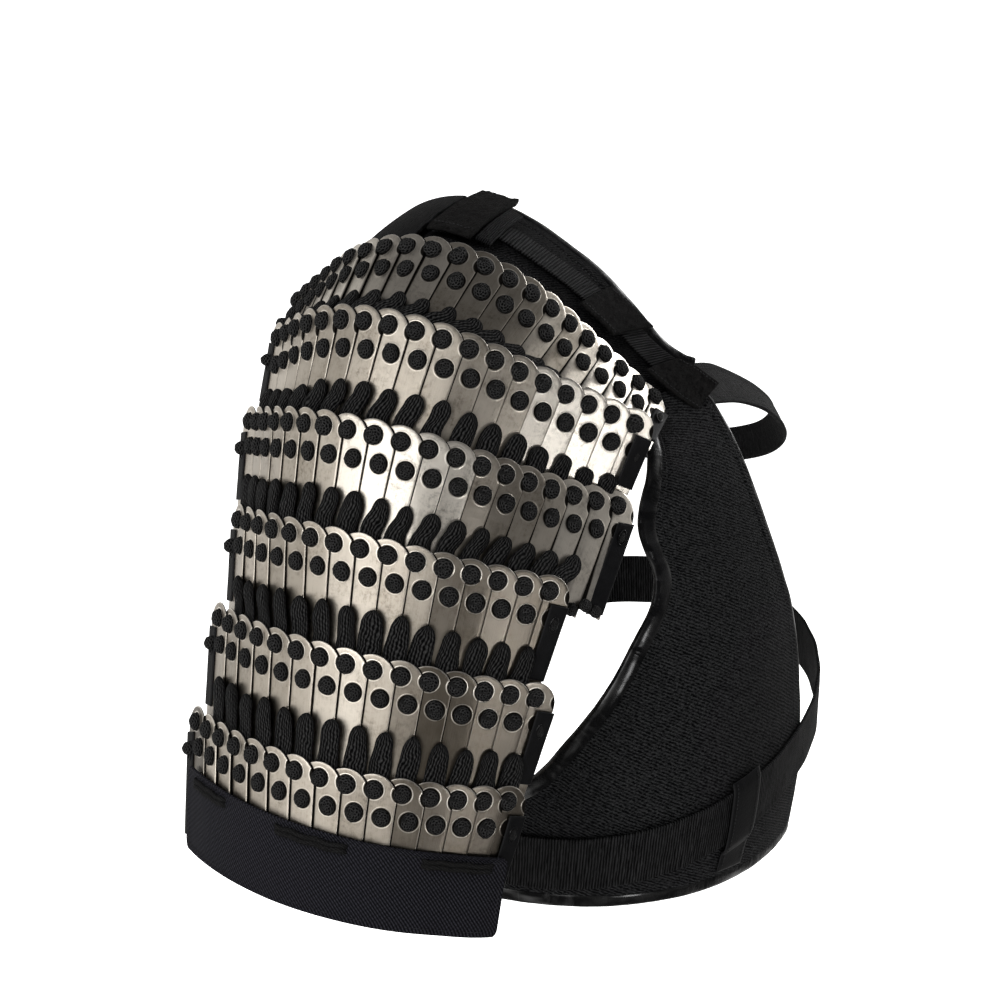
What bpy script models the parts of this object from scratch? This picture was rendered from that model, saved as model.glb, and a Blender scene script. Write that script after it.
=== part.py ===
# Lamellar shoulder guard for the right shoulder, on a one-sided padded harness.
# The wearer faces -Y and +Z is up, so the guard is on the -X side. The origin is the top of the
# right shoulder, where the underside of the shoulder pad sits. Metres throughout.

import math

import bmesh
import bpy
import numpy as np

MM = 0.001
GAP = 0.35 * MM             # clearance kept between neighbouring pieces

# ---- lamellae -------------------------------------------------------------------------------
PLATE_PITCH = 17.0 * MM     # from one plate to the next along a row
PLATE_HALF_WIDTH = 14.5 * MM
PLATE_HEAD_RISE = 9.8 * MM  # top of the round head above the upper lacing hole
PLATE_DROP = 74.0 * MM      # bottom edge below the upper lacing hole, where it can be seen
PLATE_TUCK = 8.8 * MM       # a hidden bottom edge ends this far above the next row's holes
PLATE_STEP = 1.3 * MM       # how far a plate's front edge stands over the next plate
PLATE_BACK = 1.2 * MM       # steel behind the reference surface
HEAD_EDGE_ANGLES = (54.0, 72.0, 90.0)   # points of a head's front edge, degrees from its top
HEAD_CROWN_ANGLE = 18.0     # points of its crown, to either side of the top
HIDDEN_FRONT = 0.6          # plates this far past the ends of the next row, in plate numbers,
HIDDEN_BACK = 2.5           # still end behind it
HEAD_CENTRE = PLATE_HALF_WIDTH - PLATE_HEAD_RISE
SEAM = PLATE_PITCH - PLATE_HALF_WIDTH

# One line for each row of plates. x, y, z: upper hole of the middle plate (mm). roll, tip, turn:
# the plane of the row, rolled about X, tipped about Y and turned about its own upright (degrees).
# radius: bend of the row at its middle (mm). skew, ease, curl: change of that bend along the row
# (1/m2, 1/m3, 1/m4). dip: fall of the row's ends (1/m). middle, first, last: plate numbers,
# counted from the front to the back.
ROW_COLUMNS = ("x", "y", "z", "roll", "tip", "turn", "radius", "skew", "ease", "curl", "dip",
               "middle", "first", "last")
ROWS = {
    1: (-62.0, -6.5, -1.5, 2.5, 44.5, -20.5, 77.0, 32.0, -2310.0, 900.0, -0.1, 7, -3, 17),
    2: (-110.5, -0.5, -40.5, 2.5, 42.0, -16.5, 92.0, 41.0, -1800.0, -3000.0, -0.6, 7, -2, 15),
    3: (-138.0, -4.0, -102.5, 2.0, 34.5, -21.5, 92.0, 40.0, -1690.0, -1400.0, -0.8, 6, -3, 15),
    4: (-158.5, -4.5, -167.0, 3.0, 29.0, -18.0, 114.0, 41.0, -1220.0, -900.0, -0.7, 6, 0, 14),
    5: (-171.5, -0.5, -235.0, 4.5, 22.5, -16.0, 124.0, 19.0, -800.0, -300.0, -0.6, 6, 0, 14),
    6: (-188.0, 10.0, -302.5, 6.5, 10.0, -12.0, 120.0, -5.0, -600.0, 1300.0, -0.1, 6, 0, 14),
}
# How the plates of a row hang behind the next one: room left there for the lacing (mm), and
# the place along the next row that they point at, as a shift and a gather of plate numbers.
HANG_COLUMNS = ("room", "shift", "gather")
HANG = {
    1: (9.6, 0.3, 0.98),
    2: (12.6, -0.01, 1.08),
    3: (7.5, 0.69, 0.925),
    4: (7.5, 0.22, 0.93),
    5: (7.5, -0.23, 0.965),
}
LAST_ROW_LEAN = -0.043      # sideways run of the lowest plates for each unit of drop
LAST_ROW_FAN = -1.65        # change of that lean along the row, 1/m
LAST_ROW_TUCK = 1.7         # degrees that the lowest plates turn in from the row's upright

# ---- lacing, edge strips and hem ------------------------------------------------------------
LACING_START = 35.0 * MM     # below the upper holes, where the cords come out
LACING_HIDDEN = 13.0 * MM   # part that passes behind the next row, above its holes
LACING_SKIP = {3: 1}        # plates at the front end that have no cord
LACING_WEB = 1.2 * MM       # cords' thickness in the valleys between them
LACING_RIDGE = 4.0 * MM     # thickness at a cord's ridge
LACING_SHORTEST = 8.0 * MM  # least length of cord that can be seen
LACING_BEHIND = 2.6 * MM    # from the back of the next row to the cords behind it
LACING_EDGE = 0.3           # the first cord is set in by this much, in plate numbers
LACING_INSET = 0.4          # and on the next row it is set in from the first plate by this
LACING_OUTSET = 0.9         # the last cord reaches past the next row's last plate by this
LACING_CROWD = 0.25         # least spacing of the cords' lower ends against their upper ends
# How far the cords' two faces cross the room behind the next row: the face on the plates, and
# the other face in a valley and at a ridge.
LACING_INNER = 0.05
LACING_VALLEY = 0.3
LACING_FULL = 0.8
STRIP_TOP = 6.5 * MM        # below the upper holes
STRIP_SHORT = 3.0 * MM      # the strip ends this far above the bottom of its plate
STRIP_WIDTH = 11.5 * MM
STRIP_THICK = 1.7 * MM
STRIP_OFF = 1.2 * MM        # over the plate, whose face is slightly twisted
HEM_TOP = 32.0 * MM         # below the lowest row's upper holes
HEM_BOTTOM = 83.5 * MM
HEM_THICK = 3.0 * MM
BACKING_TOP = 29.0 * MM
BACKING_BOTTOM = 84.0 * MM
BACKING_THICK = 2.4 * MM
BACKING_OFF = 1.5 * MM      # from the back of the plates
BACKING_CORNERS = (0.4, -0.3)   # its front edge leans: upper and lower corner, plate numbers

# ---- body that the harness lies on ----------------------------------------------------------
# One line for each height (mm): side to side centre y, half width, front depth, rear depth,
# and the power of the outline (2 is an ellipse).
TORSO_COLUMNS = ("z", "y", "half_width", "front", "rear", "power")
TORSO_X = 116.0 * MM
TORSO = (
    (-592, -5, 155, 124, 118, 2.2),
    (-512, -18, 150, 122, 122, 2.2),
    (-432, -28, 157, 132, 128, 2.2),
    (-352, -34, 164, 140, 136, 2.2),
    (-272, -34, 164, 138, 142, 2.2),
    (-192, -28, 166, 134, 144, 2.1),
    (-132, -20, 166, 118, 138, 2.0),
    (-92, -8, 160, 91, 122, 2.0),
    (-72, 0, 156, 88, 110, 2.0),
    (-42, 6, 148, 74, 92, 2.0),
)

# ---- harness --------------------------------------------------------------------------------
# Neck edge of the shoulder pad, by plate number of the top row (mm).
PAD_COLUMNS = ("plate", "x", "y", "z")
PAD_NECK_EDGE = (
    (-5.2, 92, -119, -98),
    (-3.6, 80, -112, -87),
    (-1.8, 72, -104, -81),
    (0, 63, -91, -68),
    (1.5, 56, -74, -45),
    (3, 50, -54, -22),
    (4.5, 46, -34, -6),
    (6, 43, -13, 8),
    (9, 45, 24, 21),
    (12, 51, 61, 16),
    (15, 60, 92, -4),
    (17.6, 66, 112, -34),
)
PAD_FIRST = -3.4            # plate numbers of the pad's two ends
PAD_LAST = 17.4
PAD_UNDER_ROW = 22.0 * MM   # how far the pad reaches below the top row's holes
PAD_EDGE = 4.0 * MM
PAD_CROWN = 5.0 * MM        # extra thickness in the middle of the pad
PAD_CLEAR = 3.6 * MM        # from the plates' reference surface to the pad
# The pad's surface crosses from the neck edge to the plates along a cubic curve. Its handle at
# the plates runs up them and out from them, as parts of the pad's reach, and its handle at the
# neck points at that one.
PAD_HANDLE_UP = 0.42
PAD_HANDLE_OUT = 0.095
PAD_NECK_HANDLE = 0.35

# Middle line of the webbing: place across the pad (0 is the neck edge, 1 the edge under the
# plates) by plate number.
WEBBING_LINE = (
    (-5.0, 0.24), (-3.0, 0.22), (-1.0, 0.21), (0.8, 0.25), (2.4, 0.35), (4.5, 0.44),
    (6.5, 0.46), (9.0, 0.46), (16.6, 0.42),
)
# Bands laid over the pad: first and last plate number, shift across the pad from the webbing's
# middle line, width (mm), height over the pad at either end (mm), thickness (mm).
PAD_BAND_COLUMNS = ("from", "to", "shift", "width", "low_from", "low_to", "thick")
PAD_BANDS = {
    "shoulder_webbing": (-3.0, 16.6, 0.0, 22.0, 0.9, 0.9, 1.6),
    "front_patch": (-4.7, -1.5, 0.06, 32.0, 9.9, 3.6, 2.4),
    "keeper_patch": (0.6, 2.3, 0.0, 40.0, 3.4, 3.4, 2.4),
    "rear_patch": (7.2, 9.2, -0.12, 84.0, 3.6, 3.6, 3.2),
    "rear_patch_flap": (6.4, 7.1, -0.02, 58.0, 3.4, 3.4, 2.8),
    "rear_strap_end": (9.4, 12.9, 0.03, 76.0, 3.8, 3.8, 2.6),
}

# Front panel: one line for each height (mm): angle round the body (degrees, 0 at the wearer's
# front, 90 at the right side) of the armhole edge and of the edge at the front.
PANEL_COLUMNS = ("z", "arm", "front")
FRONT_PANEL = (
    (-104, 41, 15.5),
    (-120, 41, 15.5),
    (-144, 43, 14),
    (-172, 48, 12.5),
    (-205, 46.5, 9.5),
    (-226, 49, 6.5),
    (-248, 54.5, 3),
    (-280, 62.5, 0.5),
    (-313, 72.5, 0),
    (-345, 83, -1),
    (-362, 92, -3),
    (-390, 92, -5),
    (-417, 92, -8),
)
REAR_PANEL = (
    (-96, 136, 164),
    (-120, 138, 166),
    (-160, 136, 168),
    (-205, 134, 171),
    (-248, 127, 175),
    (-290, 116, 179),
    (-330, 103, 181),
    (-362, 93.2, 183),
    (-390, 93.2, 185),
    (-417, 93.2, 188),
)
PANEL_THICK = 3.0 * MM
PANEL_OFF = 1.0 * MM
PANEL_BLEND = 60.0          # mm below its top where a panel leaves the pad and meets the body
PANEL_TOP = (0.97, 0.06)    # place across the pad of a panel's two top corners
FRONT_PANEL_PLATE = -3.62    # plate numbers of the panels' tops
REAR_PANEL_PLATE = 17.6
BINDING_RADIUS = 3.4 * MM
PIPING_RADIUS = 2.0 * MM
EDGE_CLEAR = 1.0 * MM       # from an edge of cloth to the round edging beside it

BAND_MIDDLE = -344.0 * MM   # mean height of the elastic band
BAND_RISE = 50.0 * MM       # it climbs this much towards the wearer's left
BAND_LOW_SIDE = 83.0        # degrees round the body of its lowest point
BAND_WIDTH = 37.0 * MM
BAND_THICK = 2.0 * MM
BAND_OFF = PANEL_OFF + PANEL_THICK + 1.9 * MM
KEEPER_ANGLE = 26.0
KEEPER_WIDTH = 24.0 * MM
KEEPER_BOTTOM = -414.0 * MM
KEEPER_THICK = 1.6 * MM
KEEPER_REACH = 150.0 * MM   # from the torso's middle to the keeper
KEEPER_MARGIN = 1.0 * MM    # between the keeper and the band that it goes over
KEEPER_SLOPE = 6.0 * MM     # height in which it comes down onto the panel
STRAP_WIDTH = 25.0 * MM
STRAP_THICK = 2.0 * MM
STRAP_OFF = PANEL_OFF + PANEL_THICK + 1.2 * MM
# Cross strap: middle line round the body, from the front of the pad by the wearer's left side
# to the rear of the pad (angle in degrees, height in mm).
STRAP_COLUMNS = ("angle", "z")
CROSS_STRAP = (
    (10, -98), (-4, -104), (-16, -117), (-34, -143), (-60, -172), (-90, -186),
    (-120, -176), (-145, -152), (-165, -132), (-180, -122), (-190, -118),
)

STEEL = ((0.62, 0.60, 0.57), 0.32, 1.0)
CORD = ((0.018, 0.018, 0.019), 0.9, 0.0)
LEATHER = ((0.022, 0.022, 0.024), 0.55, 0.0)
FABRIC = ((0.02, 0.02, 0.022), 0.95, 0.0)
GLOSS = ((0.015, 0.015, 0.017), 0.3, 0.0)
WEBBING = ((0.025, 0.025, 0.026), 0.85, 0.0)


# ---- small tools ----------------------------------------------------------------------------
def unit(v):
    return v / np.linalg.norm(v, axis=-1, keepdims=True)


def along(table, x, column):
    """Smooth curve through one column of a table, read at x: cubic pieces whose slope at each
    line of the table is the mean of the slopes beside it."""
    rows = np.array(sorted(table), float)
    keys, values = rows[:, 0], rows[:, column]
    slopes = np.diff(values) / np.diff(keys)
    ends = np.concatenate([slopes[:1], (slopes[1:] + slopes[:-1]) / 2, slopes[-1:]])
    x = np.asarray(x, float)
    i = np.clip(np.searchsorted(keys, x) - 1, 0, len(keys) - 2)
    step = keys[i + 1] - keys[i]
    t = (x - keys[i]) / step
    t = np.clip(t, 0.0, 1.0)
    return ((1 + 2 * t) * (1 - t) ** 2 * values[i] + t * (1 - t) ** 2 * step * ends[i]
            + t * t * (3 - 2 * t) * values[i + 1] - t * t * (1 - t) * step * ends[i + 1])


def running_sum(values, step):
    """Integral of evenly spaced values, by the trapezium rule."""
    return np.concatenate([[0.0], np.cumsum(values[1:] + values[:-1])]) * step / 2


def surface_normals(grid, ring=False):
    if ring:
        du = np.roll(grid, -1, 0) - np.roll(grid, 1, 0)
    else:
        du = np.gradient(grid, axis=0)
    dv = np.gradient(grid, axis=1)
    return unit(np.cross(du, dv))


def finish(name, points, faces, look):
    """One object from points and faces, turned so that its faces point out."""
    points = np.asarray(points, float)
    volume = 0.0
    for face in faces:
        a = points[face[0]]
        for b, c in zip(face[1:-1], face[2:]):
            volume += np.dot(a, np.cross(points[b], points[c]))
    if volume < 0:
        faces = [tuple(reversed(face)) for face in faces]
    mesh = bpy.data.meshes.new(name)
    mesh.from_pydata([tuple(p) for p in points], [], faces)
    mesh.validate()
    work = bmesh.new()
    work.from_mesh(mesh)
    bmesh.ops.triangulate(work, faces=work.faces[:])
    work.to_mesh(mesh)
    work.free()
    mesh.materials.append(material(look))
    thing = bpy.data.objects.new(name, mesh)
    bpy.context.collection.objects.link(thing)
    return thing


def material(look):
    colour, rough, metal = look
    name = "finish_" + "_".join("%d" % round(1000 * v) for v in (*colour, rough, metal))
    found = bpy.data.materials.get(name)
    if found:
        return found
    made = bpy.data.materials.new(name)
    made.use_nodes = True
    shader = made.node_tree.nodes["Principled BSDF"]
    shader.inputs["Base Color"].default_value = (*colour, 1.0)
    shader.inputs["Roughness"].default_value = rough
    shader.inputs["Metallic"].default_value = metal
    return made


def wall(name, inner, outer, look, ring=False):
    """Solid between two grids of points of the same shape. A ring closes on itself along the
    first direction."""
    nu, nv = inner.shape[:2]
    points = np.concatenate([inner.reshape(-1, 3), outer.reshape(-1, 3)])
    top = nu * nv
    faces = []
    spans = nu if ring else nu - 1

    def at(i, j):
        return (i % nu) * nv + j

    for i in range(spans):
        for j in range(nv - 1):
            quad = (at(i, j), at(i + 1, j), at(i + 1, j + 1), at(i, j + 1))
            faces.append(tuple(top + q for q in quad))
            faces.append(tuple(reversed(quad)))
        for j, flip in ((0, False), (nv - 1, True)):
            side = (at(i, j), at(i + 1, j), top + at(i + 1, j), top + at(i, j))
            faces.append(tuple(reversed(side)) if flip else side)
    if not ring:
        for i, flip in ((0, True), (nu - 1, False)):
            for j in range(nv - 1):
                side = (at(i, j), at(i, j + 1), top + at(i, j + 1), top + at(i, j))
                faces.append(tuple(reversed(side)) if flip else side)
    return finish(name, points, faces, look)


def tube(name, path, radius, sides, look, out):
    """Closed tube along a path; out is a direction at each point that its sides are set from."""
    path = np.asarray(path, float)
    run = unit(np.gradient(path, axis=0))
    across = unit(np.cross(run, out))
    up = np.cross(across, run)
    angle = np.arange(sides) * 2 * math.pi / sides
    rings = (path[:, None] + radius * (np.cos(angle)[None, :, None] * across[:, None]
                                       + np.sin(angle)[None, :, None] * up[:, None]))
    count = len(path)
    points = np.concatenate([rings.reshape(-1, 3), path[:1], path[-1:]])
    faces = []
    for i in range(count - 1):
        for j in range(sides):
            k = (j + 1) % sides
            faces.append((i * sides + j, (i + 1) * sides + j, (i + 1) * sides + k, i * sides + k))
    for j in range(sides):
        k = (j + 1) % sides
        faces.append((count * sides, j, k))
        faces.append((count * sides + 1, (count - 1) * sides + k, (count - 1) * sides + j))
    return finish(name, points, faces, look)


# ---- the rows of plates ---------------------------------------------------------------------
def row_curve(row, plates):
    """Upper holes of a row, the direction along it towards the back, and the direction out.
    The row lies in a tipped plane; its heading is the integral of its bend."""
    r = dict(zip(ROW_COLUMNS, ROWS[row]))
    roll, tip = math.radians(r["roll"]), math.radians(r["tip"])
    size = math.hypot(roll, tip)
    kx, ky = roll / size, tip / size
    skewed = np.array([[0, 0, ky], [0, 0, -kx], [-ky, kx, 0]])
    turn = np.eye(3) + math.sin(size) * skewed + (1 - math.cos(size)) * skewed @ skewed
    ex, ey, down = turn @ (1, 0, 0), turn @ (0, 1, 0), turn @ (0, 0, -1)
    reach = 14 * PLATE_PITCH
    s = np.linspace(-reach, reach, 1201)

    step = s[1] - s[0]
    bend = 1000 / r["radius"] + r["skew"] * s + r["ease"] * s ** 2 / 2 + r["curl"] * s ** 3 / 6
    h = running_sum(np.maximum(bend, 0.0), step)
    h = h - np.interp(0, s, h) + math.radians(r["turn"])
    x = running_sum(np.sin(h), step)
    y = running_sum(np.cos(h), step)
    at = (np.asarray(plates, float) - r["middle"]) * PLATE_PITCH
    px = np.interp(at, s, x) - np.interp(0, s, x)
    py = np.interp(at, s, y) - np.interp(0, s, y)
    t = np.interp(at, s, h)
    start = np.array([r["x"], r["y"], r["z"]]) * MM
    holes = start + px[:, None] * ex + py[:, None] * ey + (r["dip"] * at ** 2)[:, None] * down
    back = np.sin(t)[:, None] * ex + np.cos(t)[:, None] * ey
    out = -np.cos(t)[:, None] * ex + np.sin(t)[:, None] * ey
    return holes, back, out, down, at


def ends(row):
    """First and last plate number of a row."""
    return ROWS[row][-2:]


def target_plate(row, plates):
    """Place along the next row that the plates of a row point at."""
    h = dict(zip(HANG_COLUMNS, HANG[row]))
    middle = ROWS[row][ROW_COLUMNS.index("middle")]
    return middle + h["shift"] + h["gather"] * (np.asarray(plates, float) - middle)


def row_frame(row, plates):
    """Holes of the plates and each plate's own axes: back along its width, down its length,
    and out. The plates hang so that the next row lies over them with room for the lacing."""
    holes, back, out, down, at = row_curve(row, plates)
    if row in HANG:
        room = HANG[row][HANG_COLUMNS.index("room")] * MM
        below, _, below_out, _, _ = row_curve(row + 1, target_plate(row, plates))
        drop = unit(below - room * below_out - holes)
    else:
        tuck = math.radians(LAST_ROW_TUCK)
        lean = (LAST_ROW_LEAN + LAST_ROW_FAN * at)[:, None]
        drop = unit(math.cos(tuck) * down - math.sin(tuck) * out + lean * back)
    width = unit(back - np.sum(back * drop, 1, keepdims=True) * drop)
    return holes, width, drop, np.cross(width, drop)


def plate_drop(row, plates):
    """Length of the plates below their upper holes: those behind the next row end there."""
    length = np.full(len(plates), PLATE_DROP)
    if row in HANG:
        target = target_plate(row, plates)
        holes, below = row_curve(row, plates)[0], row_curve(row + 1, target)[0]
        reach = np.linalg.norm(below - holes, axis=1) - PLATE_TUCK
        first, last = ends(row + 1)
        hidden = (target > first - HIDDEN_FRONT) & (target < last + HIDDEN_BACK)
        length = np.where(hidden, np.minimum(length, reach), length)
    return length


def on_row(row, plate, s, v, o):
    """Point on a row: s along the plate's width towards the back, v down, o out."""
    plate, s, v, o = np.broadcast_arrays(*(np.asarray(q, float) for q in (plate, s, v, o)))
    holes, width, drop, out = row_frame(row, plate.ravel())
    shape = plate.shape + (3,)
    return (holes + s.reshape(-1, 1) * width + v.reshape(-1, 1) * drop
            + o.reshape(-1, 1) * out).reshape(shape)


def plate_lift(s):
    """Height of a plate's face over the reference surface: it rises towards the front edge."""
    return PLATE_STEP * (SEAM - s) / PLATE_PITCH


def on_seam(row, seam, v, o):
    """Point over the front edges of the plates, by straight lines from one edge to the next."""
    seam, v, o = np.broadcast_arrays(*(np.asarray(q, float) for q in (seam, v, o)))
    whole = np.floor(seam)
    share = (seam - whole)[..., None]
    return ((1 - share) * on_row(row, whole, -PLATE_HALF_WIDTH, v, o)
            + share * on_row(row, whole + 1, -PLATE_HALF_WIDTH, v, o))


def lamella_row(row):
    """Plates of a row as one solid. Each plate is a slab with a round head, whose front edge
    stands over the next plate's back."""
    first, last = ends(row)
    meet = math.degrees(math.asin(PLATE_PITCH / 2 / PLATE_HALF_WIDTH))
    edge = np.radians(np.array([meet, *HEAD_EDGE_ANGLES]))
    crown = np.radians(np.array([-HEAD_CROWN_ANGLE, 0.0, HEAD_CROWN_ANGLE]))
    edge_s = np.append(-PLATE_HALF_WIDTH * np.sin(edge), -PLATE_HALF_WIDTH)
    head_v = HEAD_CENTRE - PLATE_HALF_WIDTH * np.cos(edge)
    crown_s = -PLATE_HALF_WIDTH * np.sin(crown)
    crown_v = HEAD_CENTRE - PLATE_HALF_WIDTH * np.cos(crown)
    points, faces = [], []

    def add(block):
        start = len(points)
        points.extend(block)
        return list(range(start, start + len(block)))

    plates = np.arange(first, last + 1)
    n = len(edge_s)
    edges = [(np.full(n, p), np.append(head_v, drop))
             for p, drop in zip(plates, plate_drop(row, plates))]
    high = [add(on_row(row, p, edge_s, v, plate_lift(edge_s))) for p, v in edges]
    low = [add(on_row(row, p, edge_s, v, plate_lift(edge_s + PLATE_PITCH)))
           if p[0] > first else None for p, v in edges]
    deep = [add(on_row(row, p, edge_s, v, -PLATE_BACK)) for p, v in edges]
    rim = [add(on_row(row, np.full(3, p), crown_s, crown_v, plate_lift(crown_s))) for p in plates]
    rim_deep = [add(on_row(row, np.full(3, p), crown_s, crown_v, -PLATE_BACK)) for p in plates]
    end_high = add(on_row(row, last, -edge_s, edges[-1][1], plate_lift(-edge_s)))
    end_deep = add(on_row(row, last, -edge_s, edges[-1][1], -PLATE_BACK))
    for k in range(len(plates)):
        tail = k == len(plates) - 1
        left = end_high if tail else low[k + 1]
        left_deep = end_deep if tail else deep[k + 1]
        for i in range(n - 1):
            faces.append((left[i], left[i + 1], high[k][i + 1], high[k][i]))
            faces.append((left_deep[i], deep[k][i], deep[k][i + 1], left_deep[i + 1]))
            if low[k]:
                faces.append((high[k][i], high[k][i + 1], low[k][i + 1], low[k][i]))
            else:
                faces.append((high[k][i], high[k][i + 1], deep[k][i + 1], deep[k][i]))
            if tail:
                faces.append((left[i + 1], left[i], left_deep[i], left_deep[i + 1]))
        faces.append((left[0], high[k][0], rim[k][2], rim[k][1], rim[k][0]))
        faces.append((left_deep[0], rim_deep[k][0], rim_deep[k][1], rim_deep[k][2], deep[k][0]))
        faces.append((left[0], rim[k][0], rim_deep[k][0], left_deep[0]))
        faces.append((rim[k][0], rim[k][1], rim_deep[k][1], rim_deep[k][0]))
        faces.append((rim[k][1], rim[k][2], rim_deep[k][2], rim_deep[k][1]))
        corner = [low[k][0]] if low[k] else []
        faces.append((rim[k][2], high[k][0], *corner, deep[k][0], rim_deep[k][2]))
        foot = [low[k][-1]] if low[k] else []
        faces.append((left_deep[-1], deep[k][-1], *foot, high[k][-1], left[-1]))
    finish("lamella_row_%d" % row, points, faces, STEEL)


def lacing(row):
    """Cords from one row to the next as one ribbed strip: a ridge at each seam between two
    plates and a valley between two cords. It starts on the plates and ends behind the heads of
    the next row."""
    first, last = ends(row)
    next_first, next_last = ends(row + 1)
    seam = np.arange(2 * (first + LACING_SKIP.get(row, 0)) + 1, 2 * last + 2) / 2
    seam[0] += LACING_EDGE
    ridge = np.where(seam == np.round(seam), 1.0, 0.0)
    target = target_plate(row, seam)
    low_end, high_end = next_first + LACING_INSET, next_last + LACING_OUTSET
    below = low_end + (target - target[0]) * (high_end - low_end) / (target[-1] - target[0])
    below = np.where(target < low_end, below, np.minimum(target, high_end))
    below = np.maximum(below, low_end + LACING_CROWD * (seam - seam[0]))
    below = np.maximum.accumulate(below)
    lower = PLATE_STEP + 3 * GAP
    holes = on_seam(row, seam, 0, lower)
    reach = np.linalg.norm(on_seam(row + 1, below, 0, -PLATE_BACK) - holes, axis=1)
    start = np.minimum(LACING_START, reach - LACING_HIDDEN - LACING_SHORTEST)
    grids = []
    for outer in (False, True):
        thick = (LACING_WEB + ridge * (LACING_RIDGE - LACING_WEB)) * outer
        lines = [on_seam(row, seam, start, lower + thick)]
        for v in (-LACING_HIDDEN, 0.0):
            over = on_seam(row + 1, below, v, -PLATE_BACK - LACING_BEHIND)
            under = on_seam(row, seam, reach + v, lower)
            upper = LACING_VALLEY + (LACING_FULL - LACING_VALLEY) * ridge
            share = np.where(outer, upper, LACING_INNER)[:, None]
            lines.append(under + (over - under) * share)
        grids.append(np.stack(lines, 1))
    wall("lacing_%d_%d" % (row, row + 1), grids[0], grids[1], CORD)


def edge_strip(row, rear):
    """Leather strip on the last plate of a row, from under its head to near its bottom. It
    lies on the flat of the plate's visible face."""
    plate = ends(row)[1] if rear else ends(row)[0]
    v = np.array([STRIP_TOP, plate_drop(row, np.array([plate]))[0] - STRIP_SHORT])
    front = on_row(row, plate, -PLATE_HALF_WIDTH, v, PLATE_STEP)
    if rear:
        back = on_row(row, plate, PLATE_HALF_WIDTH, v, plate_lift(PLATE_HALF_WIDTH))
        width = 2 * PLATE_HALF_WIDTH
        reach = np.array([width - STRIP_WIDTH, width]) / width
    else:
        back = on_row(row, plate + 1, -PLATE_HALF_WIDTH, v, 0)
        reach = np.array([0, STRIP_WIDTH / PLATE_PITCH])
    face = front + (back - front) * reach[:, None, None]
    out = surface_normals(face)
    if np.sum(out * row_frame(row, np.array([plate]))[3]) < 0:
        out = -out
    wall("%s_edge_strip_%d" % ("rear" if rear else "front", row), face + STRIP_OFF * out,
         face + (STRIP_OFF + STRIP_THICK) * out, LEATHER)


def hem():
    """Band round the foot of the guard, over the plates, and a second layer behind them."""
    first, last = ends(6)
    grid_p, grid_v = np.meshgrid(np.arange(2 * first, 2 * last + 4) / 2,
                                 np.linspace(HEM_TOP, HEM_BOTTOM, 3), indexing="ij")
    lift = PLATE_STEP + STRIP_OFF + STRIP_THICK + GAP
    wall("hem_band", on_seam(6, grid_p, grid_v, lift), on_seam(6, grid_p, grid_v, lift + HEM_THICK),
         LEATHER)
    grid_p, grid_v = np.meshgrid(np.arange(first - 1.0, last + 2),
                                 np.array([BACKING_TOP, BACKING_BOTTOM]), indexing="ij")
    grid_p[0] += BACKING_CORNERS
    lift = -PLATE_BACK - BACKING_OFF
    wall("hem_backing", on_seam(6, grid_p, grid_v, lift - BACKING_THICK),
         on_seam(6, grid_p, grid_v, lift), LEATHER)


# ---- the body's surface and what lies on it -------------------------------------------------
def on_body(angle, z, off):
    """Point on the body: angle round it from the wearer's front towards the right side, height
    and distance off its surface. Each height is two half outlines, front and rear."""
    angle, z, off = np.broadcast_arrays(*(np.asarray(q, float) for q in (angle, z, off)))
    y, half, front, rear, power = (along(TORSO, z / MM, c) for c in range(1, 6))
    c, s = np.cos(np.radians(angle)), np.sin(np.radians(angle))
    depth = np.where(c >= 0, front, rear) * MM + off
    x = TORSO_X - (half * MM + off) * np.sign(s) * np.abs(s) ** (2 / power)
    y = y * MM - depth * np.sign(c) * np.abs(c) ** (2 / power)
    return np.stack([x, y, z], -1)


def on_pad(plate, across):
    """Point on the top of the shoulder pad: across from its neck edge to its edge under the
    plates of the top row, where it runs along the plates."""
    plate, across = np.broadcast_arrays(*(np.asarray(q, float) for q in (plate, across)))
    p, w = plate.ravel(), across.ravel()[:, None]
    neck = np.stack([along(PAD_NECK_EDGE, p, c) for c in (1, 2, 3)], -1) * MM
    holes, width, drop, out = row_frame(1, p)
    under = holes + PAD_UNDER_ROW * drop - PAD_CLEAR * out
    reach = np.linalg.norm(under - neck, axis=1, keepdims=True)
    shoulder = under - reach * (PAD_HANDLE_UP * drop + PAD_HANDLE_OUT * out)
    a, b, c, d = neck, neck + PAD_NECK_HANDLE * (shoulder - neck), shoulder, under
    points = ((1 - w) ** 3 * a + 3 * w * (1 - w) ** 2 * b + 3 * w * w * (1 - w) * c + w ** 3 * d)
    return points.reshape(plate.shape + (3,))


def pad_grid(plate, across):
    """Grid of points on the pad and its outward normals."""
    points = on_pad(plate, across)
    step = 0.02
    du = on_pad(plate + step, across) - on_pad(plate - step, across)
    dw = on_pad(plate, across + step) - on_pad(plate, across - step)
    return points, unit(np.cross(du, dw))


def shoulder_pad():
    """Padded shell over the shoulder, thickest along its middle, with a bound neck edge."""
    plate, across = np.meshgrid(np.linspace(PAD_FIRST, PAD_LAST, 18), np.linspace(0, 1, 6),
                                indexing="ij")
    outer, normal = pad_grid(plate, across)
    thick = PAD_EDGE + PAD_CROWN * np.sqrt(4 * across * (1 - across))
    wall("shoulder_pad", outer - thick[..., None] * normal, outer, FABRIC)
    edge_tube("neck_binding", outer[:, 0] - PAD_EDGE / 2 * normal[:, 0], outer[:, 1],
              normal[:, 0], BINDING_RADIUS)


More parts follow.
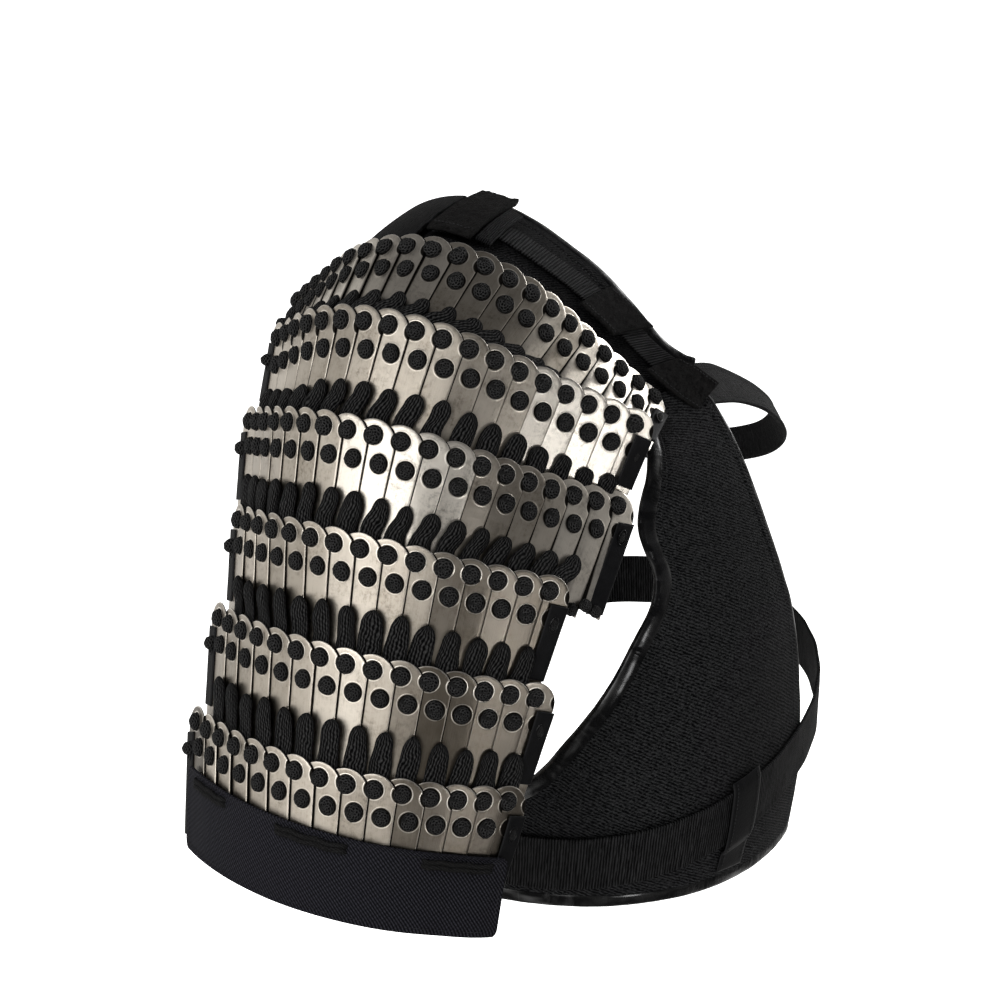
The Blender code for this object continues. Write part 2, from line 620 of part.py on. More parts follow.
def pad_bands():
    """Flat bands over the pad, each across the webbing's middle line."""
    for name, values in PAD_BANDS.items():
        b = dict(zip(PAD_BAND_COLUMNS, values))
        count = max(3, round(b["to"] - b["from"]) + 1)
        plate = np.linspace(b["from"], b["to"], count)
        middle = along(WEBBING_LINE, plate, 1) + b["shift"]
        scale = np.linalg.norm(on_pad(plate, middle + 0.05) - on_pad(plate, middle - 0.05), axis=1)
        half = b["width"] / 2 * MM * 0.1 / scale
        share = np.linspace(-1, 1, 3 if b["width"] < 50 else 5)
        grid_p = np.repeat(plate[:, None], len(share), 1)
        points, normal = pad_grid(grid_p, middle[:, None] + half[:, None] * share)
        low = np.linspace(b["low_from"], b["low_to"], count)[:, None, None] * MM
        look = WEBBING if name == "shoulder_webbing" else FABRIC
        wall(name, points + low * normal, points + (low + b["thick"] * MM) * normal, look)


def panel(name, table, columns, top_plate):
    """Cloth panel on the body; its top follows the end of the shoulder pad."""
    z = np.array([row[0] for row in table], float)
    share = np.linspace(0, 1, columns)
    arm, free = along(table, z, 1), along(table, z, 2)
    angle = arm[:, None] + (free - arm)[:, None] * share
    height = np.repeat(z[:, None], columns, 1) * MM
    inner = on_body(angle, height, PANEL_OFF)
    across = PANEL_TOP[0] + (PANEL_TOP[1] - PANEL_TOP[0]) * share
    top, top_out = pad_grid(np.full(columns, top_plate), across)
    fade = np.clip(1 - (z[0] - z) / PANEL_BLEND, 0, 1)[:, None, None] ** 2
    inner = inner + (top - PANEL_THICK * top_out - inner[0])[None] * fade
    normal = surface_normals(inner)
    outward = inner - np.array([TORSO_X, 0, 0])
    if np.sum(normal[..., :2] * outward[..., :2]) < 0:
        normal = -normal
    wall(name, inner, inner + PANEL_THICK * normal, FABRIC)
    return inner + PANEL_THICK / 2 * normal, normal


def edge_tube(name, line, inner_line, normal, radius, clear=EDGE_CLEAR):
    """Round edging beside an edge of cloth. The offset is square to the edge's run."""
    away = unit(np.cross(np.gradient(line, axis=0), normal))
    if np.sum(away * (line - inner_line)) < 0:
        away = -away
    tube(name, line + (radius + clear) * away, radius, 6, GLOSS, normal)


def panels():
    """The two panels of the harness, with round edging on their open edges."""
    front, front_out = panel("front_panel", FRONT_PANEL, 8, FRONT_PANEL_PLATE)
    rear, rear_out = panel("rear_panel", REAR_PANEL, 7, REAR_PANEL_PLATE)
    for name, grid, out in (("front", front, front_out), ("rear", rear, rear_out)):
        stop = len(grid) - 3
        edge_tube(name + "_armhole_binding", grid[1:stop, 0], grid[1:stop, 1], out[1:stop, 0],
                  BINDING_RADIUS, 1.4 * EDGE_CLEAR)
        edge_tube(name + "_edge_piping", grid[1:, -1], grid[1:, -2], out[1:, -1], PIPING_RADIUS)
        edge_tube(name + "_hem_binding", grid[-1], grid[-2], out[-1], BINDING_RADIUS,
                  2 * EDGE_CLEAR)


def band_height(angle):
    return BAND_MIDDLE - BAND_RISE * np.cos(np.radians(angle - BAND_LOW_SIDE))


def elastic_band():
    """Loop round the torso in a tipped plane, and the leather loop that holds it in front."""
    grid_a, share = np.meshgrid(np.arange(0, 360, 7.5), (-0.5, 0.5), indexing="ij")
    height = band_height(grid_a) + share * BAND_WIDTH
    wall("elastic_band", on_body(grid_a, height, BAND_OFF),
         on_body(grid_a, height, BAND_OFF + BAND_THICK), WEBBING, ring=True)
    half = BAND_WIDTH / 2 + KEEPER_MARGIN
    rise = np.array([-half - KEEPER_SLOPE, -half, 0.0, half, half + KEEPER_SLOPE])
    lift = np.array([0.0, 0.5, 1.0, 1.0, 1.0, 0.5])
    low = PANEL_OFF + PANEL_THICK + GAP
    high = BAND_OFF + BAND_THICK + KEEPER_MARGIN
    spread = np.degrees(KEEPER_WIDTH / 2 / KEEPER_REACH)
    grid_a = np.repeat(KEEPER_ANGLE + np.array([[-spread], [0.0], [spread]]), 6, 1)
    grid_z = band_height(grid_a) + np.append(0.0, rise)
    grid_z[:, 0] = KEEPER_BOTTOM
    off = low + (high - low) * lift[None, :]
    wall("band_keeper", on_body(grid_a, grid_z, off),
         on_body(grid_a, grid_z, off + KEEPER_THICK), LEATHER)


def cross_strap():
    line = np.linspace(CROSS_STRAP[0][0], CROSS_STRAP[-1][0], 30)
    middle = along(CROSS_STRAP, line, 1) * MM
    grid_a, share = np.meshgrid(line, (-0.5, 0.5), indexing="ij")
    height = middle[:, None] + share * STRAP_WIDTH
    wall("cross_strap", on_body(grid_a, height, STRAP_OFF),
         on_body(grid_a, height, STRAP_OFF + STRAP_THICK), WEBBING)


def build():
    for thing in list(bpy.data.objects):
        bpy.data.objects.remove(thing, do_unlink=True)
    for row in ROWS:
        lamella_row(row)
        if row in HANG:
            lacing(row)
        edge_strip(row, False)
        edge_strip(row, True)
    hem()
    shoulder_pad()
    pad_bands()
    panels()
    elastic_band()
    cross_strap()


build()
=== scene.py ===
import math

import bmesh
import bpy
import numpy as np
from mathutils import Matrix


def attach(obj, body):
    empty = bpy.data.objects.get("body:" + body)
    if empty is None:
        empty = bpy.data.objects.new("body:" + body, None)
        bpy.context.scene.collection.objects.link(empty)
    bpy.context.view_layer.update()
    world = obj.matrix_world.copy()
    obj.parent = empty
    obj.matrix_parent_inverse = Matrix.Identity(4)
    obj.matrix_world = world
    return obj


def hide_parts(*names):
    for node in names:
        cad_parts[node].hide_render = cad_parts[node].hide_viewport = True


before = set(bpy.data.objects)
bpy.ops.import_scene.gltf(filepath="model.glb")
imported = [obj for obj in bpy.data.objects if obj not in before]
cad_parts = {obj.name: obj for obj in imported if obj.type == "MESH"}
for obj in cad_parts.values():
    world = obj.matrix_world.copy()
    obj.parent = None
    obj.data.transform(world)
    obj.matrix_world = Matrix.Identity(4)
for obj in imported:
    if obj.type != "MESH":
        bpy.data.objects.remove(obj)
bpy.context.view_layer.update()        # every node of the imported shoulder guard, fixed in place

mm = 0.001
fullTurn = 2 * math.pi
seeds = np.random.default_rng(17)


class Val:
    # one socket of a shader graph; arithmetic on it adds Math nodes
    def __init__(self, graph, socket):
        self.graph = graph
        self.socket = socket

    def calc(self, operation, *values):
        # one Math node
        return self.graph.add("ShaderNodeMath", {"operation": operation}, dict(enumerate(values)))

    def __add__(self, other):
        return self.calc("ADD", self, other)

    def __sub__(self, other):
        return self.calc("SUBTRACT", self, other)

    def __rsub__(self, other):
        return self.calc("SUBTRACT", other, self)

    def __mul__(self, other):
        return self.calc("MULTIPLY", self, other)

    def __truediv__(self, other):
        return self.calc("DIVIDE", self, other)

    def __pow__(self, other):
        return self.calc("POWER", self, other)

    __radd__ = __add__
    __rmul__ = __mul__

    def sin(self):
        return self.calc("SINE", self)

    def wave(self):
        # sine of the value, brought to 0 to 1
        return self.sin() * 0.5 + 0.5

    def abs(self):
        return self.calc("ABSOLUTE", self)

    def most(self, other):
        return self.calc("MAXIMUM", self, other)

    def least(self, other):
        return self.calc("MINIMUM", self, other)

    def step(self, low, high):
        # smooth rise from 0 at low to 1 at high
        return self.graph.add("ShaderNodeMapRange", {"interpolation_type": "SMOOTHSTEP"},
                              {0: self, 1: low, 2: high})


class Graph:
    # nodes and links of a material or of the world
    def __init__(self, tree):
        self.nodes = tree.nodes
        self.links = tree.links

    def plug(self, socket, value):
        # links a socket, or sets a plain value on it
        if isinstance(value, Val):
            self.links.new(value.socket, socket)
        elif isinstance(value, (tuple, list)) and len(value) == 3 and socket.type == "RGBA":
            socket.default_value = (*value, 1.0)
        else:
            socket.default_value = value

    def add(self, kind, settings=None, inputs=None, output=0):
        # one node with its settings and inputs; gives one of its outputs
        node = self.nodes.new(kind)
        for key, value in (settings or {}).items():
            setattr(node, key, value)
        for key, value in (inputs or {}).items():
            self.plug(node.inputs[key], value)
        return Val(self, node.outputs[output])

    def parts(self, vector):
        # the x, y and z of a vector
        split = self.nodes.new("ShaderNodeSeparateXYZ")
        self.plug(split.inputs[0], vector)
        return [Val(self, end) for end in split.outputs]

    def place(self):
        # the point itself, in metres
        return self.add("ShaderNodeTexCoord", output="Object")

    def chart(self):
        # the piece's own surface coordinates in millimetres, across and along
        return self.parts(self.add("ShaderNodeTexCoord", output="UV"))[:2]

    def vector(self, x, y, z=0.0):
        # a vector from its parts
        return self.add("ShaderNodeCombineXYZ", None, {0: x, 1: y, 2: z})

    def noise(self, where, scale, detail=2.0, rough=0.5, warp=0.0):
        # cloudy value about 0.5; scale is the number of lumps in one unit of the vector
        inputs = {"Vector": where, "Scale": scale, "Detail": detail, "Roughness": rough,
                  "Distortion": warp}
        return self.add("ShaderNodeTexNoise", None, inputs)

    def cells(self, where, scale):
        # distance to the nearest of scattered points, smoothed
        return self.add("ShaderNodeTexVoronoi", {"feature": "SMOOTH_F1"},
                        {"Vector": where, "Scale": scale})

    def mark(self, name):
        # a number kept on the mesh's points
        return self.add("ShaderNodeAttribute", {"attribute_name": name}, None, "Fac")

    def mix(self, share, first, second):
        # first colour at share 0, second at 1
        node = self.nodes.new("ShaderNodeMix")
        node.data_type = "RGBA"
        self.plug(node.inputs[0], share)
        self.plug(node.inputs[6], first)
        self.plug(node.inputs[7], second)
        return Val(self, node.outputs[2])

    def bump(self, height, depth, strength=1.0, below=None):
        # normal bent by a height of that depth in metres, over another bump where there is one
        inputs = {"Height": height, "Distance": depth, "Strength": strength}
        if below is not None:
            inputs["Normal"] = below
        return self.add("ShaderNodeBump", None, inputs)


class Finish(Graph):
    # a material round one Principled shader
    def __init__(self, name, **fixed):
        self.material = bpy.data.materials.new(name)
        self.material.use_nodes = True
        super().__init__(self.material.node_tree)
        self.shader = self.nodes["Principled BSDF"]
        for key, value in fixed.items():
            self.shader.inputs[key.replace("_", " ")].default_value = value

    def feed(self, **values):
        # inputs of the shader by name, each a plain value or a socket
        for key, value in values.items():
            self.plug(self.shader.inputs[key.replace("_", " ")], value)

    def cover(self, base, rough, height, depth, strength=1.0):
        # colour, roughness and a bump of that depth in metres
        self.feed(Base_Color=base, Roughness=rough)
        self.feed(Normal=self.bump(height, depth, strength))
        return self.material


def steelFinish():
    # satin steel: grain along the plate, cloudy patches where it was handled and dark flecks; each plate's
    # paleness is painted reflection and painted shade, the rims round its edge and its lacing holes carry a
    # painted highlight, and painted shadow darkens the line where the next plate's edge lies on it, the
    # holes and the edges of its back
    look = {"darkFleckAndShade": (0.085, 0.072, 0.056), "plain": (0.42, 0.372, 0.31), "pale": (0.70, 0.655, 0.585),
            "rim": (0.90, 0.85, 0.77), "line": (0.016, 0.014, 0.012),
            "holes": ((0, 0), (-7, 16), (-17, 0)), "hole": 6.1, "half": 14.5, "headCentre": 4.7}
    f = Finish("satinSteel", Metallic=1.0)
    x, y = f.chart()
    where = f.place()
    # per-plate paleness: painted reflection and painted shade, with a little random variation
    paintedLight = f.mark("paintedLight")
    grain = f.noise(f.vector(x * 2.6, y * 0.05, paintedLight * 90), 1.0, 3.0)
    cloud = f.noise(where, 52.0, 5.0, 0.62, 0.4)
    fleck = f.noise(where, 380.0, 3.0, 0.7)
    # band along the plate's outline; with the rings round the holes it gets a painted highlight below
    rim = f.mark("rim")
    # the back's edges, and below the hole discs, take the dark line colour as painted shadow
    inside = f.mark("side")
    for hx, hy in look["holes"]:
        radius = ((x - hx) ** 2.0 + (y - hy) ** 2.0) ** 0.5
        rim = rim.most(1 - ((radius - look["hole"] - 0.35).abs() / 0.55).least(1.0))
        inside = inside.most(1 - radius.step(look["hole"] - 0.4, look["hole"]))
    # distance to the next plate's edge, which is straight below the middle of its head; acrossNext and
    # downNext are the place in that plate's own chart. A thin band beside that edge is painted shadow.
    rise = (f.mark("downNext") - look["headCentre"]).least(0.0)
    beside = (f.mark("acrossNext") ** 2.0 + rise * rise) ** 0.5 - look["half"]
    line = 1 - beside.step(0.3, 1.05)
    # paleness runs from painted shade through plain steel to painted reflection
    base = f.mix(paintedLight * 2, look["darkFleckAndShade"], look["plain"])
    base = f.mix(paintedLight * 2 - 1, base, look["pale"])
    smudge = (cloud * 1.5 - 0.45 + grain * 0.6).step(0.2, 0.85)
    base = f.mix(smudge * (0.06 + paintedLight * 0.7), base, f.mix(0.6, base, look["pale"]))
    base = f.mix((1 - smudge) * fleck.step(0.4, 0.7) * 0.62, base, look["darkFleckAndShade"])
    # painted highlight on the rims and the rings round the holes, stronger at the head
    base = f.mix(rim.step(0.15, 0.9) * (0.72 - y.step(0.0, 6.0) * 0.45), base, look["rim"])
    # painted shadow: the line beside the next plate's edge, the hole discs and the edges of the back
    base = f.mix(line.most(inside), base, look["line"])
    rough = 0.25 + cloud * 0.16 + grain * 0.07 - rim * 0.06 + line.most(inside) * 0.4
    f.feed(Base_Color=base, Roughness=rough)
    soft = f.bump(cloud, 0.0007, 0.4)
    f.feed(Normal=f.bump(grain + fleck * 0.4 + rim.step(0.0, 1.0) * 1.5 - line * 1.5, 0.00014, 0.4, soft))
    return f.material


def cordFinish():
    # soft black cord: a bundle of loose strands that run along it with a slow twist
    f = Finish("softCord", Specular_IOR_Level=0.05)
    x, y = f.chart()
    where = f.place()
    wander = f.noise(where, 170.0, 2.0)
    strand = ((x * 19 + y * 0.045 + wander * 1.9) * fullTurn).wave()
    nap = ((x * 7 - y * 0.30 + wander * 1.5) * fullTurn).wave()
    fibre = f.noise(f.vector(x * 70, y * 0.5 + wander * 3), 1.0, 4.0, 0.7)
    fuzz = f.noise(where, 1700.0, 3.0, 0.75)
    body = strand * 0.45 + fibre * 0.45 + nap * 0.2
    base = f.mix((body - 0.46) * 2.3 + (fuzz - 0.45) * 1.2, (0.0002, 0.0002, 0.0003),
                 (0.0225, 0.0222, 0.022))
    return f.cover(base, 0.6 + fuzz * 0.3, body + fuzz * 0.5, 0.0017)


def knotFinish():
    # the same cord tied into a ball: strands cross over and under each other
    f = Finish("knotCord", Specular_IOR_Level=0.06)
    x, y = f.chart()
    where = f.place()
    wander = f.noise(where, 300.0, 2.0)
    over = ((x * 7 + y * 0.42 + wander * 0.9) * fullTurn).sin()
    under = ((x * 6 - y * 0.46 - wander * 0.9) * fullTurn).sin()
    fuzz = f.noise(where, 1500.0, 3.0, 0.7)
    body = over.most(under) * 0.5 + 0.5 + fuzz * 0.35
    base = f.mix(body * 1.3 - 0.78, (0.0003, 0.0003, 0.0004), (0.022, 0.0217, 0.0215))
    return f.cover(base, 0.55 + fuzz * 0.3, body, 0.0013)


def leatherFinish():
    # matt black leather with a fine pebble grain and rubbed edges
    f = Finish("mattLeather", Specular_IOR_Level=0.07)
    where = f.place()
    pebble = f.cells(where, 900.0)
    crease = f.noise(where, 120.0, 4.0, 0.6, 0.6)
    rub = f.mark("rim")
    base = f.mix(crease * 0.8, (0.0006, 0.0006, 0.0008), (0.0042, 0.0042, 0.0046))
    base = f.mix(rub * 0.5, base, (0.010, 0.010, 0.0105))
    return f.cover(base, 0.50 + crease * 0.2 - rub * 0.1, pebble * 0.7 + crease, 0.0004, 0.5)


def hemFinish():
    # coated cloth of the hem: a fine diagonal twill, almost black with a cold tint
    f = Finish("hemTwill", Specular_IOR_Level=0.07)
    x, y = f.chart()
    where = f.place()
    wander = f.noise(where, 90.0, 3.0)
    twill = ((x * 0.62 + y * 0.78 + wander * 0.7) * 3.4).wave()
    cut = ((x * 0.78 - y * 0.62 + wander * 0.5) * 2.6).wave()
    weave = twill * (0.5 + cut * 0.5)
    dust = f.noise(where, 700.0, 3.0, 0.7)
    base = f.mix(weave * 1.1 + dust * 0.7 - 0.45, (0.0006, 0.0006, 0.0012), (0.0145, 0.0142, 0.0185))
    return f.cover(base, 0.58 + dust * 0.2, weave + dust * 0.5, 0.0007, 0.9)


def clothFinish(name, pale):
    # coarse pebbled cloth of the panels: short knobbly yarns on a slant
    f = Finish(name, Specular_IOR_Level=0.04)
    x, y = f.chart()
    where = f.place()
    bend = f.noise(where, 150.0, 2.0)
    slant = f.vector(x * 0.50 + y * 0.2 + bend, y * 0.95 - x * 0.22 + bend)
    yarn = f.cells(slant, 1.25)
    fuzz = f.noise(where, 1900.0, 2.0, 0.6)
    rows = ((y * 0.9 - x * 0.42 + bend * 1.5) * (fullTurn / 2.0)).wave()
    knob = (1 - yarn.step(0.05, 0.75)) * 0.6 + rows * 0.45
    base = f.mix(knob * 1.15 + fuzz * 0.8 - 0.62, (0.0004, 0.0004, 0.0006), pale)
    return f.cover(base, 0.78 + fuzz * 0.2, knob + fuzz * 0.4, 0.0011)


def webbingFinish(name, rib, pale):
    # woven webbing: ribs across it, with a finer thread along it
    f = Finish(name, Specular_IOR_Level=0.05)
    x, y = f.chart()
    where = f.place()
    wander = f.noise(where, 200.0, 2.0)
    crimp = f.noise(f.vector(x * 0.10, y * 0.55), 1.0, 3.0, 0.6)
    ribs = ((y + wander * 0.5 + crimp * 2.0) * (fullTurn / rib)).wave()
    thread = ((x + wander * 0.3) * fullTurn / 0.9).wave()
    fuzz = f.noise(where, 1500.0, 3.0, 0.7)
    weave = ribs * 0.75 + thread * 0.25
    base = f.mix(weave * 1.1 + crimp * 1.3 + fuzz * 0.5 - 1.15, (0.0004, 0.0004, 0.0005), pale)
    return f.cover(base, 0.66 + fuzz * 0.2, weave + crimp * 0.8 + fuzz * 0.25, 0.0009)


def fuzzFinish():
    # loop cloth of the fasteners: matted short pile
    f = Finish("loopPile", Specular_IOR_Level=0.04)
    where = f.place()
    mat = f.noise(where, 330.0, 5.0, 0.75, 1.2)
    pile = f.noise(where, 1700.0, 3.0, 0.8)
    base = f.mix(mat * 2.2 + pile * 0.8 - 1.05, (0.0003, 0.0003, 0.0003), (0.0105, 0.0102, 0.010))
    return f.cover(base, 0.9 + pile * 0.1, mat + pile * 0.7, 0.0016)


def glossFinish():
    # shiny bound edging with small creases across it
    f = Finish("glossEdging", Specular_IOR_Level=0.05, Coat_Roughness=0.2, Coat_IOR=1.8)
    x, y = f.chart()
    where = f.place()
    crease = f.noise(f.vector(x * 2.0, y * 0.16), 1.0, 4.0, 0.55, 0.6)
    sheen = f.noise(f.vector(x * 4.5, y * 0.032), 1.0, 2.0)
    pore = f.cells(where, 1400.0)
    base = f.mix(crease, (0.0004, 0.0004, 0.0005), (0.0022, 0.0022, 0.0025))
    f.feed(Coat_Weight=sheen.step(0.42, 0.68) * 0.55 + crease.step(0.5, 0.7) * 0.2)
    return f.cover(base, 0.42 + crease * 0.16, crease * 2.5 + pore * 0.25, 0.0011, 0.8)


def threadFinish():
    # sewing thread: fine noise for its twist
    f = Finish("blackThread", Specular_IOR_Level=0.1)
    twist = f.noise(f.place(), 2400.0, 2.0)
    base = f.mix(twist, (0.002, 0.002, 0.0025), (0.017, 0.017, 0.018))
    return f.cover(base, 0.5 + twist * 0.2, twist, 0.0002, 0.6)


steel = steelFinish()
softCord = cordFinish()
knotCord = knotFinish()
leather = leatherFinish()
hemCloth = hemFinish()
cloth = clothFinish("pebbledCloth", (0.0175, 0.0177, 0.0182))
padCloth = clothFinish("padCloth", (0.0085, 0.0085, 0.0088))
webbing = webbingFinish("shoulderWebbing", 2.1, (0.016, 0.016, 0.0165))
strapWeave = webbingFinish("strapWeave", 1.3, (0.010, 0.010, 0.0105))
elasticWeave = webbingFinish("elasticWeave", 1.9, (0.015, 0.015, 0.0155))
fuzz = fuzzFinish()
gloss = glossFinish()
thread = threadFinish()
print("finishes made")


def unit(v):
    # vectors divided by their own length
    return v / np.linalg.norm(v, axis=-1, keepdims=True)


def blend(t):
    # 0 below t = 0, 1 above t = 1, and the cubic with flat ends between
    t = np.clip(t, 0.0, 1.0)
    return t * t * (3 - 2 * t)


def along(table, x, column):
    # smooth curve through a column: cubic pieces with the mean of the slopes beside each line
    rows = np.array(sorted(table), float)
    keys, values = rows[:, 0], rows[:, column]
    slopes = np.diff(values) / np.diff(keys)
    ends = np.concatenate([slopes[:1], (slopes[1:] + slopes[:-1]) / 2, slopes[-1:]])
    x = np.asarray(x, float)
    i = np.clip(np.searchsorted(keys, x) - 1, 0, len(keys) - 2)
    step = keys[i + 1] - keys[i]
    t = np.clip((x - keys[i]) / step, 0.0, 1.0)
    return ((1 + 2 * t) * (1 - t) ** 2 * values[i] + t * (1 - t) ** 2 * step * ends[i]
            + t * t * (3 - 2 * t) * values[i + 1] - t * t * (1 - t) * step * ends[i + 1])


def runningSum(values, step):
    # integral from the first value, by the trapezoid rule
    return np.concatenate([[0.0], np.cumsum(values[1:] + values[:-1])]) * step / 2


def ripple(points, size, seed):
    # soft lumps: a sum of sine waves in random directions, size is the wave length in metres
    draw = np.random.default_rng(seed)
    waves = draw.normal(size=(9, 3))
    longest = size * draw.uniform(0.6, 1.7, (9, 1))
    waves *= fullTurn / (longest * np.linalg.norm(waves, axis=1, keepdims=True))
    phase = draw.uniform(0, fullTurn, 9)
    return np.sin(points @ waves.T + phase).mean(-1)


def edged(count, inset):
    # even places from 0 to 1 with one more just inside either end
    inner = np.linspace(0, 1, count)
    return np.concatenate([[0, inset], inner[1:-1], [1 - inset, 1]])


def gridNormals(grid):
    # cross product of the grid's two directions
    return unit(np.cross(np.gradient(grid, axis=0), np.gradient(grid, axis=1)))


def lengths(grid, axis):
    # running length along one direction of a grid, in mm
    steps = np.linalg.norm(np.diff(grid, axis=axis), axis=-1)
    first = np.zeros_like(np.take(steps, [0], axis=axis))
    return np.concatenate([first, np.cumsum(steps, axis=axis)], axis=axis) / mm


def enrol(piece, node=None):
    # the piece stays with the fixed body, and hides the frame's node that it stands for
    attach(piece, "root")
    if node:
        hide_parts(node)


def makePiece(name, points, quads, finish, uv=None, marks=None, flat=False):
    # one mesh object from arrays; doubled points are merged and its faces turned outwards
    mesh = bpy.data.meshes.new(name)
    points = np.asarray(points, np.float32).reshape(-1, 3)
    quads = np.asarray(quads, np.int32).reshape(-1, 4)
    mesh.vertices.add(len(points))
    mesh.vertices.foreach_set("co", points.ravel())
    mesh.loops.add(quads.size)
    mesh.loops.foreach_set("vertex_index", quads.ravel())
    mesh.polygons.add(len(quads))
    mesh.polygons.foreach_set("loop_start", np.arange(len(quads), dtype=np.int32) * 4)
    mesh.polygons.foreach_set("use_smooth", np.full(len(quads), not flat))
    layer = mesh.uv_layers.new(name="UVMap")
    if uv is not None:
        corners = np.asarray(uv, np.float32).reshape(-1, 2)[quads.ravel()]
        layer.data.foreach_set("uv", corners.ravel())
    for key, values in (marks or {}).items():
        made = mesh.attributes.new(key, "FLOAT", "POINT")
        made.data.foreach_set("value", np.asarray(values, np.float32).ravel())
    mesh.update(calc_edges=True)
    work = bmesh.new()
    work.from_mesh(mesh)
    bmesh.ops.remove_doubles(work, verts=work.verts[:], dist=2e-6)
    bmesh.ops.recalc_face_normals(work, faces=work.faces[:])
    work.to_mesh(mesh)
    work.free()
    mesh.materials.append(finish)
    piece = bpy.data.objects.new(name, mesh)
    bpy.context.collection.objects.link(piece)
    return piece


def gridQuads(nu, nv, ringU=False, ringV=False, copies=1):
    # corner numbers of the faces of a grid, or of many equal grids one after another
    i = np.arange(nu if ringU else nu - 1)[:, None]
    j = np.arange(nv if ringV else nv - 1)[None, :]
    a, b = i % nu, (i + 1) % nu
    c, d = j % nv, (j + 1) % nv
    one = np.stack([a * nv + c, b * nv + c, b * nv + d, a * nv + d], -1).reshape(-1, 4)
    return (np.arange(copies)[:, None, None] * (nu * nv) + one).reshape(-1, 4)


def shellQuads(nu, nv, ringU=False, copies=1):
    # faces of a closed slab: a top grid, then a bottom grid, and the walls between them
    count = nu * nv
    top = gridQuads(nu, nv, ringU)
    faces = [top, top[:, ::-1] + count]
    i = np.arange(nu if ringU else nu - 1)
    k = (i + 1) % nu
    for j, turn in ((0, 1), (nv - 1, -1)):
        side = np.stack([i * nv + j, i * nv + j + count, k * nv + j + count, k * nv + j], -1)
        faces.append(side[:, ::turn])
    if not ringU:
        j = np.arange(nv - 1)
        for i, turn in ((0, -1), (nu - 1, 1)):
            low = i * nv + j
            side = np.stack([low, low + count, low + 1 + count, low + 1], -1)
            faces.append(side[:, ::turn])
    one = np.concatenate(faces)
    return (np.arange(copies)[:, None, None] * (2 * count) + one).reshape(-1, 4)


def slab(name, middle, normal, thick, finish, ringU=False):
    # closed sheet round a middle surface; its border is thinned so that it looks rounded
    thinned = 0.35
    nu, nv = middle.shape[:2]
    share = np.ones((nu, nv))
    share[:, [0, -1]] = thinned
    if not ringU:
        share[[0, -1], :] = thinned
    half = np.broadcast_to(np.asarray(thick) / 2, (nu, nv)) * share
    top = middle + normal * half[..., None]
    bottom = middle - normal * half[..., None]
    wide = lengths(middle, 1)
    wide = wide - wide[:, [nv // 2]]
    tall = np.repeat(lengths(middle, 0)[:, [nv // 2]], nv, 1)
    uv = np.stack([wide, tall], -1)
    rim = (share < 1).astype(float)
    return makePiece(name, np.stack([top, bottom]), shellQuads(nu, nv, ringU), finish,
                     np.stack([uv, uv]), {"rim": np.stack([rim, rim])})


def sweep(path, across, up, halfWidth, halfThick, sides, lobes=0, depth=0.0, square=2.0, turn=0.0):
    # tubes along many paths at once (tube, place, xyz): a rounded section of a given half width
    # and half thickness, with shallow lobes for strands
    angle = np.arange(sides) * fullTurn / sides
    swell = 1 + depth * np.cos(lobes * angle + np.asarray(turn)[..., None])
    c, s = np.cos(angle), np.sin(angle)
    px = np.sign(c) * np.abs(c) ** (2 / square) * swell
    py = np.sign(s) * np.abs(s) ** (2 / square) * swell
    return (path[..., None, :] + (halfWidth[..., None] * px)[..., None] * across[..., None, :]
            + (halfThick[..., None] * py)[..., None] * up[..., None, :])


def tubePiece(name, path, across, up, halfWidth, halfThick, sides, finish, **shape):
    # the tubes of sweep() as one mesh; either end closes to a point
    path = np.asarray(path)
    rings = sweep(path, across, up, halfWidth, halfThick, sides, **shape)
    copies, count = rings.shape[:2]
    ends = [np.repeat(path[:, [k], None, :], sides, 2) for k in (0, -1)]
    rings = np.concatenate([ends[0], rings, ends[1]], 1)
    run = lengths(path, 1)
    run = np.concatenate([run[:, :1], run, run[:, -1:]], 1)
    girth = np.arange(sides) / sides
    uv = np.stack(np.broadcast_arrays(girth[None, None, :], run[..., None]), -1)
    return makePiece(name, rings, gridQuads(count + 2, sides, False, True, copies), finish, uv)


def scatter(name, centres, right, down, out, local, quads, finish, uv):
    # copies of one small shape, each set on its own three directions
    points = (centres[:, None] + local[..., 0:1] * right[:, None] + local[..., 1:2] * down[:, None]
              + local[..., 2:3] * out[:, None])
    count = local.shape[-2]
    faces = (np.arange(len(centres))[:, None, None] * count + quads).reshape(-1, 4)
    return makePiece(name, points, faces, finish, np.tile(uv, (len(centres), 1)))


def ball(rings, sides):
    # unit ball as a grid from pole to pole, its chart, and its faces
    a = np.linspace(0, math.pi, rings)[:, None]
    b = (np.arange(sides) * fullTurn / sides)[None, :]
    sphere = (np.sin(a) * np.cos(b), np.sin(a) * np.sin(b), np.cos(a))
    points = np.stack(np.broadcast_arrays(*sphere), -1)
    uv = np.stack(np.broadcast_arrays(b / fullTurn, a * 5.0), -1)
    return points.reshape(-1, 3), uv.reshape(-1, 2), gridQuads(rings, sides, False, True)


def read(at, run, points):
    # points of a line at given running lengths, by straight lines between its own
    return np.stack([np.interp(at, run, points[:, k]) for k in range(3)], -1)


def stitchLine(path, normal, pitch, cover=0.62, lift=0.15 * mm):
    # places, directions and lengths of the stitches along one line
    run = lengths(path[:, None], 0)[:, 0] * mm
    count = max(2, int(run[-1] / pitch))
    at = (np.arange(count) + 0.5) * run[-1] / count
    ahead = unit(read(at + 0.3 * mm, run, path) - read(at - 0.3 * mm, run, path))
    out = unit(read(at, run, normal))
    size = np.full(count, cover * run[-1] / count)
    return read(at, run, path) + lift * out, ahead, unit(np.cross(out, ahead)), out, size


